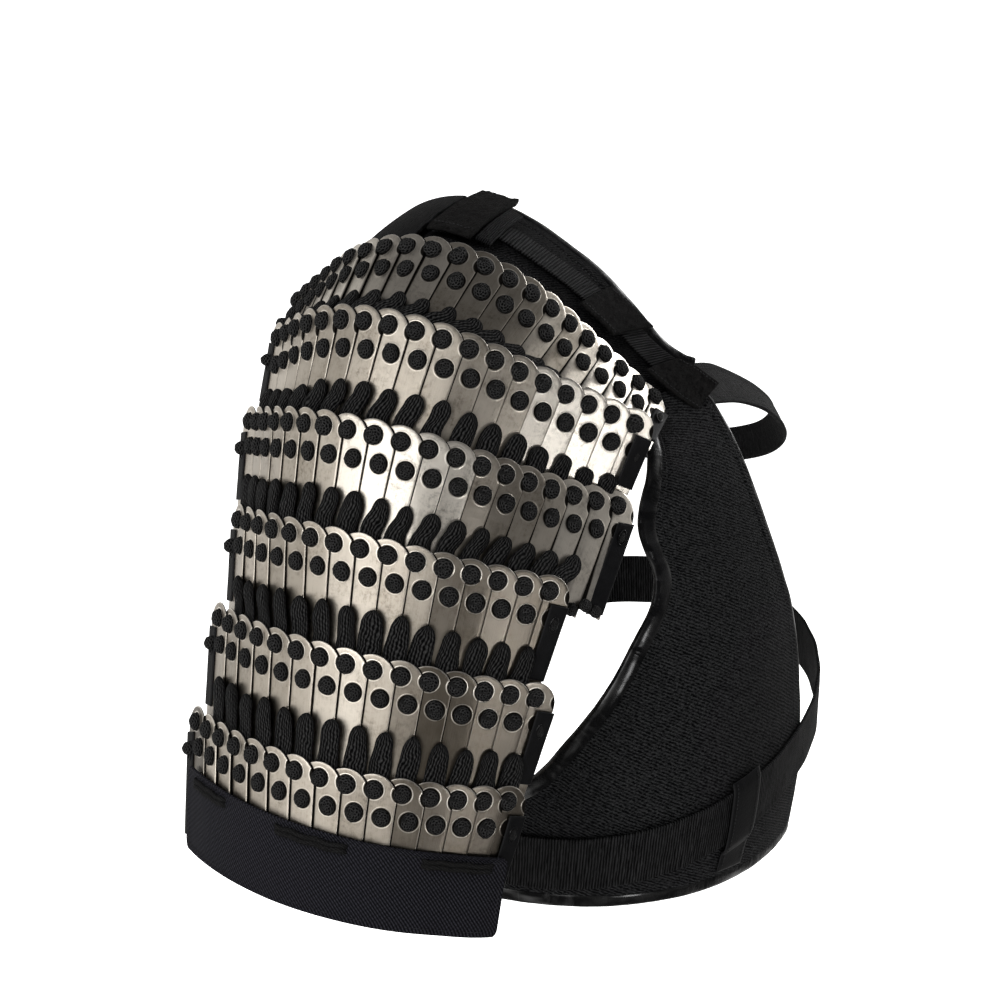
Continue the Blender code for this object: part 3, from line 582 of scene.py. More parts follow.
def stitchPiece(name, lines, radius=0.34 * mm):
    # all the stitches of one seam group as small lozenges of thread
    place, ahead, side, out, size = (np.concatenate(group) for group in zip(*lines))
    points, uv, quads = ball(5, 6)
    local = points[:, [2, 0, 1]] * np.array([0.5, 1.0, 1.0])
    scale = np.stack([size, np.full_like(size, radius), np.full_like(size, radius)], -1)
    sewn = scatter(name, place, ahead, side, out, local[None] * scale[:, None], quads, thread, uv)
    enrol(sewn)


# the guard's shape, as the frame has it
plate = {"pitch": 17.0 * mm, "half": 14.5 * mm, "rise": 9.8 * mm, "drop": 74.0 * mm,
         "tuck": 8.8 * mm, "step": 1.3 * mm, "back": 1.2 * mm, "thick": 0.95 * mm}
plate["headCentre"] = plate["half"] - plate["rise"]
plate["seam"] = plate["pitch"] - plate["half"]
# x, y, z, roll, tip, turn, radius, skew, ease, curl, dip, middle, first and last plate
rows = {
    1: (-62.0, -6.5, -1.5, 2.5, 44.5, -20.5, 77.0, 32.0, -2310.0, 900.0, -0.1, 7, -3, 17),
    2: (-110.5, -0.5, -40.5, 2.5, 42.0, -16.5, 92.0, 41.0, -1800.0, -3000.0, -0.6, 7, -2, 15),
    3: (-138.0, -4.0, -102.5, 2.0, 34.5, -21.5, 92.0, 40.0, -1690.0, -1400.0, -0.8, 6, -3, 15),
    4: (-158.5, -4.5, -167.0, 3.0, 29.0, -18.0, 114.0, 41.0, -1220.0, -900.0, -0.7, 6, 0, 14),
    5: (-171.5, -0.5, -235.0, 4.5, 22.5, -16.0, 124.0, 19.0, -800.0, -300.0, -0.6, 6, 0, 14),
    6: (-188.0, 10.0, -302.5, 6.5, 10.0, -12.0, 120.0, -5.0, -600.0, 1300.0, -0.1, 6, 0, 14),
}
# room, shift and gather of each row behind the next
hang = {1: (9.6, 0.3, 0.98), 2: (12.6, -0.01, 1.08), 3: (7.5, 0.69, 0.925),
        4: (7.5, 0.22, 0.93), 5: (7.5, -0.23, 0.965)}
lastRow = {"lean": -0.043, "fan": -1.65, "tuck": 1.7}


def rowCurve(row, plates):
    # holes of a row in its tipped plane: heading is the integral of bend, place of heading
    x0, y0, z0, roll, tip, turn, radius, skew, ease, curl, dip, middle, _, _ = rows[row]
    roll, tip = math.radians(roll), math.radians(tip)
    size = math.hypot(roll, tip)
    kx, ky = roll / size, tip / size
    skewed = np.array([[0, 0, ky], [0, 0, -kx], [-ky, kx, 0]])
    rolled = np.eye(3) + math.sin(size) * skewed + (1 - math.cos(size)) * skewed @ skewed
    ex, ey, down = rolled @ (1, 0, 0), rolled @ (0, 1, 0), rolled @ (0, 0, -1)
    s = np.linspace(-14 * plate["pitch"], 14 * plate["pitch"], 1201)
    bend = 1000 / radius + skew * s + ease * s ** 2 / 2 + curl * s ** 3 / 6
    h = runningSum(np.maximum(bend, 0.0), s[1] - s[0])
    h = h - np.interp(0, s, h) + math.radians(turn)
    x = runningSum(np.sin(h), s[1] - s[0])
    y = runningSum(np.cos(h), s[1] - s[0])
    at = (np.asarray(plates, float) - middle) * plate["pitch"]
    px = np.interp(at, s, x) - np.interp(0, s, x)
    py = np.interp(at, s, y) - np.interp(0, s, y)
    t = np.interp(at, s, h)
    start = np.array([x0, y0, z0]) * mm
    holes = start + px[:, None] * ex + py[:, None] * ey + (dip * at ** 2)[:, None] * down
    back = np.sin(t)[:, None] * ex + np.cos(t)[:, None] * ey
    out = -np.cos(t)[:, None] * ex + np.sin(t)[:, None] * ey
    return holes, back, out, down, at


def targetPlate(row, plates):
    # plate number of the next row that each plate of this row hangs over
    _, shift, gather = hang[row]
    return rows[row][11] + shift + gather * (np.asarray(plates, float) - rows[row][11])


def rowFrame(row, plates):
    # a plate's own directions: width towards the back, drop towards the next row, and out
    holes, back, out, down, at = rowCurve(row, plates)
    if row in hang:
        below, _, belowOut, _, _ = rowCurve(row + 1, targetPlate(row, plates))
        drop = unit(below - hang[row][0] * mm * belowOut - holes)
    else:
        tuck = math.radians(lastRow["tuck"])
        lean = (lastRow["lean"] + lastRow["fan"] * at)[:, None]
        drop = unit(math.cos(tuck) * down - math.sin(tuck) * out + lean * back)
    width = unit(back - np.sum(back * drop, 1, keepdims=True) * drop)
    return holes, width, drop, np.cross(width, drop)


def plateDrop(row, plates):
    # length below the upper hole: full, or short enough to end behind the next row's heads
    length = np.full(len(plates), plate["drop"])
    if row in hang:
        target = targetPlate(row, plates)
        reach = np.linalg.norm(rowCurve(row + 1, target)[0] - rowCurve(row, plates)[0], axis=1)
        hidden = (target > rows[row + 1][-2] - 0.6) & (target < rows[row + 1][-1] + 2.5)
        length = np.where(hidden, np.minimum(length, reach - plate["tuck"]), length)
    return length


def onRow(row, number, s, v, o):
    # point on a row: s along the plate's width, v down from the upper hole, o out
    number, s, v, o = np.broadcast_arrays(*(np.asarray(q, float) for q in (number, s, v, o)))
    holes, width, drop, out = rowFrame(row, number.ravel())
    return (holes + s.reshape(-1, 1) * width + v.reshape(-1, 1) * drop
            + o.reshape(-1, 1) * out).reshape(number.shape + (3,))


def plateLift(s):
    # how far a plate's face stands out, since each lies on the one before it
    return plate["step"] * (plate["seam"] - s) / plate["pitch"]


def onSeam(row, seam, v, o):
    # point over the plates' front edges, by straight lines from one edge to the next
    seam, v, o = np.broadcast_arrays(*(np.asarray(q, float) for q in (seam, v, o)))
    whole = np.floor(seam)
    share = (seam - whole)[..., None]
    return ((1 - share) * onRow(row, whole, -plate["half"], v, o)
            + share * onRow(row, whole + 1, -plate["half"], v, o))


def ends(row):
    # numbers of the first and the last plate
    return rows[row][-2:]


# painted reflection on each row's steel along its plates, from 0 painted shade to 1 painted bright
# reflection: plate, paleness
paintedPlateLight = {
    1: ((-3, 1.0), (-1, 1.0), (0, 0.95), (1, 0.72), (2, 0.55), (4, 0.45), (7, 0.35), (9, 0.75),
        (12, 0.8), (14, 0.8), (16, 0.35), (17, 0.3)),
    2: ((-2, 1.0), (1, 1.0), (2, 0.85), (3, 0.45), (5, 0.5), (6, 0.35), (8, 0.5), (10, 0.4), (15, 0.4)),
    3: ((-3, 0.8), (-1, 0.75), (0, 0.6), (1, 0.35), (2, 0.3), (3, 0.5), (4, 0.9), (5, 1.0), (7, 0.9),
        (9, 0.5), (10, 0.5), (11, 0.38), (15, 0.4)),
    4: ((0, 0.0), (3, 0.0), (4, 0.0), (5, 0.3), (6, 0.55), (8, 0.6), (9, 0.42), (10, 0.35), (14, 0.35)),
    5: ((0, 0.2), (3, 0.05), (4, 0.1), (6, 0.38), (8, 0.5), (10, 0.33), (14, 0.33)),
    6: ((0, 0.08), (3, 0.05), (5, 0.2), (8, 0.45), (13, 0.38), (14, 0.15)),
}


def plateRow(row):
    # each plate: a grid u across, w down; the half width follows the round head, the face is
    # slightly crowned and falls off at the rim
    cut = {"across": (-1, -0.975, -0.93, -0.75, -0.38, 0, 0.1, 0.165, 0.20, 0.24, 0.30, 0.5, 0.75,
                      0.93, 0.975, 1),
           "headAngles": (0, 4, 14, 27, 41, 56, 72, 90),
           "down": (0.12, 0.3, 0.5, 0.7, 0.88, 0.975, 0.995, 1.0), "round": 0.55 * mm,
           "glintBand": 0.75 * mm, "crown": 0.25 * mm, "rim": 0.4 * mm, "tilt": 0.3 * mm,
           "behind": 6.0 * mm, "mottle": 0.07, "under": 1.3 * mm, "none": -99.0}
    first, last = ends(row)
    numbers = np.arange(first, last + 1)
    count = len(numbers)
    u = np.array(cut["across"])
    angles = np.radians(np.array(cut["headAngles"]))
    bottom = np.array(cut["down"])
    headV = plate["headCentre"] - plate["half"] * np.cos(angles)
    drop = plateDrop(row, numbers)
    drop = np.where(drop < plate["drop"], drop + cut["behind"], drop)
    v = np.concatenate([np.repeat(headV[None], count, 0), plate["headCentre"]
                        + (drop - plate["headCentre"])[:, None] * bottom], 1)
    half = np.concatenate([plate["half"] * np.sin(angles), np.full(len(bottom), plate["half"])])
    s = half[None, :, None] * u[None, None, :]
    vv = np.repeat(v[..., None], len(u), 2)
    edgeTop = plate["half"] - np.hypot(np.minimum(vv - plate["headCentre"], 0), s)
    edgeSide = plate["half"] - np.abs(s)
    edge = np.minimum(np.minimum(edgeTop, edgeSide + 0 * vv), drop[:, None, None] - vv)
    fall = cut["rim"] * (1 - np.sqrt(np.clip(edge / cut["round"], 0, 1)))
    tip = (seeds.normal(size=(count, 1, 1)) * 0.5) * cut["tilt"] * s / plate["half"]
    # each plate's painted reflection and painted shade from the table, with random variation from plate to
    # plate
    pale = np.interp(numbers, *np.array(paintedPlateLight[row]).T) + seeds.normal(0, cut["mottle"], count)
    paintedLight = np.clip(pale, 0, 1)[:, None, None] + 0 * s + 0 * vv
    face = plateLift(s) + cut["crown"] * (1 - (s / plate["half"]) ** 2) + tip - fall
    number = numbers[:, None, None] + 0 * face
    under = np.minimum(face, plateLift(s)) + fall - plate["thick"]
    # the rim band, which the steel finish brightens as a painted highlight
    rim = np.clip(1 - edge / cut["glintBand"], 0, 1)
    # the part that the next plate covers is pressed down under that plate's face
    holes, width, down, out = (q[:, None, None] for q in rowFrame(row, numbers + 1.0))
    layers = []
    for height, sunk in ((face, fall), (under, plate["thick"] - fall)):
        spot = onRow(row, number, s + 0 * face, vv, height)
        across = np.sum((spot - holes) * width, -1)
        over = np.sum((spot - holes) * out, -1) - plateLift(across) + cut["under"] + sunk
        covered = blend((across + plate["half"] - 0.15 * mm) / (0.7 * mm))
        covered = covered * ((number < last) & (s > 0))
        layers.append(spot - (covered * np.maximum(over, 0))[..., None] * out)
        if height is face:
            acrossNext = np.where(number < last, across / mm, cut["none"])
            downNext = np.sum((spot - holes) * down, -1) / mm
    top, back = layers
    nv, nu = top.shape[1:3]
    points = np.stack([top, back], 1)
    uv = np.stack([s + 0 * vv, vv], -1) / mm
    # marks: the per-plate paleness is painted reflection and painted shade, side darkens the edges of the
    # back as painted shadow, and acrossNext and downNext place the painted shadow line
    marks = {"rim": np.stack([rim, 0 * rim], 1), "paintedLight": np.stack([paintedLight, paintedLight], 1),
             "side": np.stack([0 * rim, np.clip(1 - edge / (0.2 * mm), 0, 1)], 1),
             "acrossNext": np.stack([acrossNext, 0 * acrossNext + cut["none"]], 1),
             "downNext": np.stack([downNext, downNext], 1)}
    piece = makePiece("steel_plates_%d" % row, points, shellQuads(nv, nu, False, count), steel,
                      np.stack([uv, uv], 1), marks)
    enrol(piece, "lamella_row_%d" % row)


def knots(row):
    # two domed cord knots on every plate: one over the seam at the head, one lower down
    size = {"upper": (5.7 * mm, 5.7 * mm, 3.7 * mm), "lower": (5.2 * mm, 6.0 * mm, 3.3 * mm),
            "end": (4.6 * mm, 4.6 * mm, 5.0 * mm), "foot": (4.2 * mm, 4.2 * mm, 3.4 * mm),
            "seat": 1.1 * mm, "lowerPlace": (-7.0 * mm, 16.0 * mm), "endPlace": (8.5 * mm, 17 * mm)}
    first, last = ends(row)
    numbers = np.arange(first, last + 1.0)
    group = [(numbers, 0.0 * numbers, 0.0 * numbers, size["upper"])]
    for low, key in ((numbers[1:], "lower"), (numbers[-1:], "end")):
        s, v = size[key + "Place"]
        group.append((low, low * 0 + s, low * 0 + v, size[key]))
    if row == 3:
        foot = np.array([first, first, first + 1, first + 1.0])
        group.append((foot, np.array([-9, -1, -9, -1]) * mm, plateDrop(row, foot) - 3 * mm, size["foot"]))
    places, right, down, out, local = [], [], [], [], []
    ballPoints, uv, quads = ball(8, 12)
    for number, s, v, radii in group:
        holes, width, drop, face = rowFrame(row, number)
        shake = seeds.normal(size=(len(number), 3))
        turn = seeds.uniform(-0.5, 0.5, len(number))[:, None]
        lift = plateLift(s)[:, None] * (radii[2] < 4 * mm) + size["seat"]
        places.append(holes + s[:, None] * width + v[:, None] * drop + lift * face)
        right.append(np.cos(turn) * width + np.sin(turn) * drop)
        down.append(np.cos(turn) * drop - np.sin(turn) * width)
        out.append(face)
        grow = np.array(radii) * (1 + 0.045 * shake)
        angle = np.arctan2(ballPoints[:, 1], ballPoints[:, 0])
        lump = 1 + 0.035 * np.sin(3 * angle + 6 * ballPoints[:, 2] + shake[:, :1])
        local.append(ballPoints[None] * grow[:, None] * lump[..., None])
    piece = scatter("cord_knots_%d" % row, np.concatenate(places), np.concatenate(right),
                    np.concatenate(down), np.concatenate(out), np.concatenate(local), quads,
                    knotCord, uv)
    enrol(piece)


def laces(row):
    # flat soft cords: each comes out at a seam, runs down over the steel and goes behind the
    # heads of the next row; the path is blended from one row's surface to the other's
    cut = {"start": 35.0 * mm, "hidden": 13.0 * mm, "least": 8.0 * mm, "lower": 2.35 * mm,
           "behind": 3.4 * mm, "half": 5.5 * mm, "grow": 1.5 * mm, "deep": 2.9 * mm, "skip": {3: 1},
           "slant": {1: 0.75, 2: 0.1, 3: 0.25}, "short": {1: 4.5 * mm}}
    first, last = ends(row)
    nextFirst, nextLast = ends(row + 1)
    seam = np.arange(2 * (first + cut["skip"].get(row, 0)) + 1, 2 * last + 2) / 2
    seam[0] += 0.3
    target = targetPlate(row, seam)
    lowEnd, highEnd = nextFirst + 0.4, nextLast + 0.9
    below = lowEnd + (target - target[0]) * (highEnd - lowEnd) / (target[-1] - target[0])
    below = np.where(target < lowEnd, below, np.minimum(target, highEnd))
    below = np.maximum.accumulate(np.maximum(below, lowEnd + 0.25 * (seam - seam[0])))
    keep = seam == np.round(seam)
    seam, below = seam[keep], below[keep] + cut["slant"].get(row, 0.0)
    reach = np.linalg.norm(onSeam(row + 1, below, 0, -plate["back"])
                           - onSeam(row, seam, 0, cut["lower"]), axis=1)
    start = np.minimum(cut["start"], reach - cut["hidden"] - cut["least"])
    start = start + seeds.uniform(-1.5, 1.5, len(seam)) * mm
    t = np.concatenate([[0.0, 0.012, 0.04, 0.08, 0.14], np.linspace(0.21, 1, 13)])
    end = reach - cut["short"].get(row, 1.0 * mm)
    v = start[:, None] + (end - start)[:, None] * t
    wide = np.repeat(seam[:, None], len(t), 1)
    wideBelow = np.repeat(below[:, None], len(t), 1)
    under = onSeam(row, wide, v, plate["step"])
    over = onSeam(row + 1, wideBelow, v - reach[:, None], -cut["behind"] + 1.4 * mm)
    gap = np.linalg.norm(over - under, axis=-1)
    tuck = blend((v - reach[:, None] + 24 * mm) / (14 * mm))
    outward = unit(onSeam(row, wide, v, 0.01) - onSeam(row, wide, v, 0.0))
    free = under + (cut["deep"] * 0.9) * outward
    path = free + (under + 0.5 * (over - under) - free) * tuck[..., None]
    # the upper end is round: it widens as a circle's arc over the first quarter
    blunt = np.sqrt(np.clip(1 - (1 - t / 0.26) ** 2, 0, 1) * (t < 0.26) + (t >= 0.26))
    blunt = np.maximum(blunt, 0.06)
    size = 1 + 0.06 * seeds.normal(size=(len(seam), 1)) + 0.07 * np.sin(
        t * seeds.uniform(3, 10, (len(seam), 1)) + seeds.uniform(0, 6, (len(seam), 1)))
    halfWidth = (cut["half"] + cut["grow"] * t) * blunt * size
    path = path + (0.7 * mm * ripple(path, 0.02, 60 + row))[..., None] * rowFrame(row, seam)[1][:, None]
    halfThick = (cut["deep"] + (np.minimum(0.5 * gap, cut["deep"]) - cut["deep"]) * tuck) * blunt
    run = unit(np.gradient(path, axis=1))
    across = unit(np.cross(run, outward))
    up = np.cross(across, run)
    turn = seeds.uniform(0, 6, (len(seam), 1)) + t * seeds.uniform(1.0, 3.0, (len(seam), 1))
    piece = tubePiece("cords_%d_%d" % (row, row + 1), path, across, up, halfWidth,
                      halfThick, 22, softCord, lobes=3, depth=0.09, turn=turn)
    enrol(piece, "lacing_%d_%d" % (row, row + 1))


def strip(row, rear):
    # leather strip on an end plate, with a slot that a lace comes through
    cut = {"top": 6.5 * mm, "short": 3.0 * mm, "width": 11.5 * mm,
           "thick": 1.1 * mm if rear else 1.7 * mm, "off": 0.3 * mm if rear else 1.2 * mm,
           "wave": 0.25 * mm, "slotDown": 12.5 * mm, "slotIn": 5.8 * mm, "slotHalf": (2.6 * mm, 5.2 * mm),
           "lip": 0.55 * mm, "lace": (2.1, 4.0, 1.5)}
    number = float(ends(row)[1] if rear else ends(row)[0])
    length = plateDrop(row, np.array([number]))[0] - cut["short"]
    share, down = edged(7, 0.06), edged(26, 0.012)
    w, v = np.meshgrid(share, cut["top"] + (length - cut["top"]) * down, indexing="ij")
    front = onRow(row, number, -plate["half"], v, plate["step"])
    if rear:
        other = onRow(row, number, plate["half"], v, plateLift(plate["half"]))
        width = 2 * plate["half"]
        reach = ((width - cut["width"]) + cut["width"] * w) / width
    else:
        other = onRow(row, number + 1, -plate["half"], v, 0)
        reach = w * cut["width"] / plate["pitch"]
    face = front + (other - front) * reach[..., None]
    out = gridNormals(face)
    if np.sum(out * rowFrame(row, np.array([number]))[3]) < 0:
        out = -out
    side = "rear" if rear else "front"
    wave = ripple(face, 0.02, row) * cut["wave"]
    middle = face + (cut["off"] + cut["thick"] / 2 + wave[..., None]) * out
    piece = slab("%s_leather_strip_%d" % (side, row), middle, out, cut["thick"], leather)
    enrol(piece, "%s_edge_strip_%d" % (side, row))
    # the slot's raised lip and the lace end in it
    holes, width, drop, face = rowFrame(row, np.array([number]))
    s = (plate["half"] - cut["slotIn"]) * (1 if rear else -1)
    at = holes + s * width + (cut["top"] + cut["slotDown"]) * drop
    at = at + (cut["off"] + cut["thick"] + plateLift(s)) * face
    turn = np.linspace(0, fullTurn, 25)[None, :, None]
    ring = (at[:, None] + cut["slotHalf"][0] * np.cos(turn) * width
            + cut["slotHalf"][1] * np.sin(turn) * drop)
    flat = np.repeat(face[:, None], 25, 1)
    run = unit(np.gradient(ring, axis=1))
    thin = np.full(ring.shape[:2], cut["lip"])
    lip = tubePiece("%s_slot_lip_%d" % (side, row), ring, np.cross(run, flat), flat, thin, thin, 6, gloss)
    enrol(lip)
    if not rear:
        points, uv, quads = ball(7, 10)
        local = points[None] * np.array(cut["lace"]) * mm
        lace = scatter("slot_lace_%d" % row, at, width, drop, face, local, quads, knotCord, uv)
        enrol(lace)


for number in rows:
    plateRow(number)
    knots(number)
    if number in hang:
        laces(number)
    strip(number, False)
    strip(number, True)
print("plates, knots and laces made")


def onHem(number, v, o):
    # point over the lowest row, along the plates' front edges
    return onRow(6, number, -plate["half"], v, o)


def hem():
    # coated band over the foot of the lowest row: a smooth surface through the plates' front
    # edges, with a sunk seam inside its border and three long lace stitches near its top
    cut = {"top": 32.0 * mm, "bottom": 83.5 * mm, "thick": 2.3 * mm, "lift": 4.55 * mm,
           "close": 1.6 * mm, "inset": 0.38, "past": 1.05, "slant": 0.55, "corner": 5.0 * mm,
           "seam": 3.6 * mm, "groove": 0.5 * mm, "swell": 0.5 * mm, "stitch": 2.6 * mm,
           "stitchInset": 0.22, "laceDrop": 7.0 * mm, "laceApart": 3.0 * mm, "laceHalf": 1.7 * mm,
           "lacePlates": ((0.95, 3.7), (6.5, 9.4), (12.0, 14.3)),
           "liningTop": 29.0, "liningBottom": 83.0, "liningThick": 2.4 * mm}
    first, last = ends(6)
    across, down = edged(100, 0.002), edged(36, 0.008)
    start = first + cut["inset"]

    def lift(number):
        # the band clears the strip at its front end, then lies close to the plates
        inner = blend((number - start - 0.3) / 2.2)
        return cut["lift"] + (cut["close"] - cut["lift"]) * inner

    def front(v):
        # the front end runs further out towards the foot
        return start - cut["slant"] * (v - cut["top"]) / (cut["bottom"] - cut["top"])

    def spread(share, v, inside):
        # plate numbers over the band; near the top and the foot the ends draw in by a circle's arc
        near = np.clip(1 - np.minimum(v - cut["top"], cut["bottom"] - v) / cut["corner"], 0, 1)
        draw = cut["corner"] * (1 - np.sqrt(1 - near ** 2)) / plate["pitch"] + inside
        begin = front(np.maximum(v, cut["top"])) + draw
        return begin + (last + cut["past"] - draw - begin) * share

    share, v = np.meshgrid(across, cut["top"] + (cut["bottom"] - cut["top"]) * down, indexing="ij")
    p = spread(share, v, 0.0)
    face = onHem(p, v, lift(p) + cut["thick"] / 2)
    out = gridNormals(face)
    if np.sum(out * (onHem(p, v, 1.0) - onHem(p, v, 0.0))) < 0:
        out = -out
    inU = np.minimum(lengths(face, 0), lengths(face[::-1], 0)[::-1]) * mm
    inV = np.minimum(v - cut["top"], cut["bottom"] - v)
    inside = np.minimum(inU, inV)
    groove = np.exp(-((inside - cut["seam"]) / (0.7 * mm)) ** 2)
    swell = ripple(face, 0.05, 3) * cut["swell"] - groove * cut["groove"]
    swell = swell + cut["swell"] * np.exp(-(inside / (2.5 * mm)) ** 2)
    piece = slab("hem", face + swell[..., None] * out, out, cut["thick"], hemCloth)
    enrol(piece, "hem_band")

    down = np.linspace(cut["liningTop"], cut["liningBottom"], 24) * mm
    share, v = np.meshgrid(np.linspace(0, 1, 76), down, indexing="ij")
    p = spread(share, v, 0.12)
    # below the plates it comes forward and lies against the hem
    closed = blend((v - 74.5 * mm) / (4.5 * mm))
    behind = -plate["back"] - 2.7 * mm
    face = onHem(p, v, behind + (lift(p) - 1.4 * mm - behind) * closed)
    backing = slab("hem_lining", face, gridNormals(face), cut["liningThick"], hemCloth)
    enrol(backing, "hem_backing")

    paths = []
    for begin, stop in cut["lacePlates"]:
        for side in (-0.5, 0.5):
            t = np.linspace(0, 1, 26)
            wave = 0.35 * mm * np.sin(t * 19 + side * 6)
            vv = cut["top"] + cut["laceDrop"] + side * cut["laceApart"] + wave
            dip = 2.2 * mm * (np.exp(-(t / 0.03) ** 2) + np.exp(-((1 - t) / 0.03) ** 2))
            number = begin + (stop - begin) * t
            paths.append(onHem(number, vv, lift(number) + cut["thick"] + 1.2 * mm - dip))
    paths = np.stack(paths)
    run = unit(np.gradient(paths, axis=1))
    drop = rowFrame(6, np.array([7.0]))[2]
    up = unit(np.cross(run, np.broadcast_to(drop, run.shape)))
    away = np.sum(up * (paths - np.array([0, 0, paths[..., 2].mean()])), -1)
    up = up * np.sign(away.mean())
    half = np.full(paths.shape[:2], cut["laceHalf"])
    lace = tubePiece("hem_laces", paths, np.cross(up, run), up, half, half * 0.75, 10, softCord,
                     lobes=5, depth=0.05)
    enrol(lace)

    # stitches along the top, the foot and the two ends
    high, low = cut["top"] + cut["seam"], cut["bottom"] - cut["seam"]
    farEnd = last + cut["past"] - cut["stitchInset"]
    length = np.linspace(start + cut["stitchInset"], farEnd, 260)
    drops = np.linspace(high, low, 60)
    lines = []
    for number, v in ((length, high), (length, low), (front(drops) + cut["stitchInset"], drops),
                      (farEnd, drops)):
        line = onHem(number, v, lift(number) + cut["thick"] - 0.2 * mm)
        normal = unit(onHem(number, v, 1.0) - onHem(number, v, 0.0))
        lines.append(stitchLine(line, normal, cut["stitch"]))
    stitchPiece("hem_stitches", lines, 0.3 * mm)


hem()
print("hem made")

torsoX = 116.0 * mm
# height, side to side centre, half width, front and rear depth, power of the outline
torso = (
    (-592, -5, 155, 124, 118, 2.2), (-512, -18, 150, 122, 122, 2.2), (-432, -28, 157, 132, 128, 2.2),
    (-352, -34, 164, 140, 136, 2.2), (-272, -34, 164, 138, 142, 2.2), (-192, -28, 166, 134, 144, 2.1),
    (-132, -20, 166, 118, 138, 2.0), (-92, -8, 160, 91, 122, 2.0), (-72, 0, 156, 88, 110, 2.0),
    (-42, 6, 148, 74, 92, 2.0),
)
# plate number and x, y, z of the pad's neck edge
neckEdge = (
    (-5.2, 92, -119, -98), (-3.6, 80, -112, -87), (-1.8, 72, -104, -81), (0, 63, -91, -68),
    (1.5, 56, -74, -45), (3, 50, -54, -22), (4.5, 46, -34, -6), (6, 43, -13, 8), (9, 45, 24, 21),
    (12, 51, 61, 16), (15, 60, 92, -4), (17.6, 66, 112, -34),
)
padShape = {"first": -3.4, "last": 17.4, "under": 22.0 * mm, "edge": 4.0 * mm, "crown": 5.0 * mm,
            "clear": 3.6 * mm, "up": 0.42, "out": 0.095, "neck": 0.35}
# plate number and place across the pad of the webbing's middle line
webbingLine = ((-5.0, 0.24), (-3.0, 0.22), (-1.0, 0.21), (0.8, 0.25), (2.4, 0.35), (4.5, 0.44),
               (6.5, 0.46), (9.0, 0.46), (16.6, 0.42))


def onBody(angle, z, off):
    # point on the wearer's outline: two half outlines of a given power, front and rear
    angle, z, off = np.broadcast_arrays(*(np.asarray(q, float) for q in (angle, z, off)))
    y, half, front, rear, power = (along(torso, z / mm, c) for c in range(1, 6))
    c, s = np.cos(np.radians(angle)), np.sin(np.radians(angle))
    depth = np.where(c >= 0, front, rear) * mm + off
    x = torsoX - (half * mm + off) * np.sign(s) * np.abs(s) ** (2 / power)
    y = y * mm - depth * np.sign(c) * np.abs(c) ** (2 / power)
    return np.stack([x, y, z], -1)


def onPad(number, across):
    # point on the pad: a cubic curve from the neck edge to under the top row
    number, across = np.broadcast_arrays(*(np.asarray(q, float) for q in (number, across)))
    p, w = number.ravel(), across.ravel()[:, None]
    neck = np.stack([along(neckEdge, p, c) for c in (1, 2, 3)], -1) * mm
    holes, _, drop, out = rowFrame(1, p)
    under = holes + padShape["under"] * drop - padShape["clear"] * out
    reach = np.linalg.norm(under - neck, axis=1, keepdims=True)
    shoulder = under - reach * (padShape["up"] * drop + padShape["out"] * out)
    handle = neck + padShape["neck"] * (shoulder - neck)
    points = ((1 - w) ** 3 * neck + 3 * w * (1 - w) ** 2 * handle + 3 * w * w * (1 - w) * shoulder
              + w ** 3 * under)
    return points.reshape(number.shape + (3,))


def padGrid(number, across):
    # points of the pad and its outward normals, from small steps either way
    du = onPad(number + 0.02, across) - onPad(number - 0.02, across)
    dw = onPad(number, across + 0.02) - onPad(number, across - 0.02)
    return onPad(number, across), unit(np.cross(du, dw))


def shoulderPad():
    # padded shell: thick along its middle, sewn down in channels that run from end to end
    cut = {"channels": (0.14, 0.62, 0.86), "groove": 1.1 * mm, "puff": 0.9 * mm}
    number = padShape["first"] + (padShape["last"] - padShape["first"]) * edged(120, 0.004)
    number, across = np.meshgrid(number, edged(44, 0.01), indexing="ij")
    outer, normal = padGrid(number, across)
    thick = padShape["edge"] + padShape["crown"] * np.sqrt(4 * across * (1 - across))
    groove = sum(np.exp(-((across - c) / 0.012) ** 2) for c in cut["channels"])
    puff = ripple(outer, 0.035, 5) * cut["puff"] - groove * cut["groove"] - 0.6 * mm
    top = outer + puff[..., None] * normal
    middle = (top + outer - thick[..., None] * normal) / 2
    size = np.linalg.norm(top - middle, axis=-1) * 2
    piece = slab("shoulder_padding", middle, normal, size, padCloth)
    enrol(piece, "shoulder_pad")
    lines = [stitchLine(outer[3:-3, k] - 0.9 * mm * normal[3:-3, k], normal[3:-3, k], 2.8 * mm)
             for k in (np.abs(across[0] - c).argmin() for c in cut["channels"])]
    stitchPiece("pad_stitches", lines)
    edging("neck_edging", "neck_binding", outer[:, 0] - padShape["edge"] / 2 * normal[:, 0],
           outer[:, 2], normal[:, 0], 3.4 * mm, 1.0 * mm)


def edging(name, node, line, innerLine, normal, radius, clear, flat=0.62):
    # bound edge: a soft roll beside the cloth, creased across its length
    away = unit(np.cross(np.gradient(line, axis=0), normal))
    if np.sum(away * (line - innerLine)) < 0:
        away = -away
    line = line + (radius + clear - 1.2 * mm) * away
    count = max(60, int(lengths(line[:, None], 0)[-1, 0] / 1.6))
    at = np.linspace(0, len(line) - 1, count)
    pick = np.arange(len(line))
    path, side, up = (read(at, pick, q)[None] for q in (line, away, normal))
    lump = 1 + 0.04 * ripple(path, 0.012, 8) + 0.10 * ripple(path, 0.035, 9)
    wide = radius * 1.15 * lump
    taper = np.minimum(np.minimum(np.arange(count), np.arange(count)[::-1]) / 2.0, 1.0)
    wide = wide * np.maximum(np.sqrt(taper), 0.3)
    piece = tubePiece(name, path, side, up, wide, wide * flat, 14, gloss, square=2.4)
    enrol(piece, node)


shoulderPad()


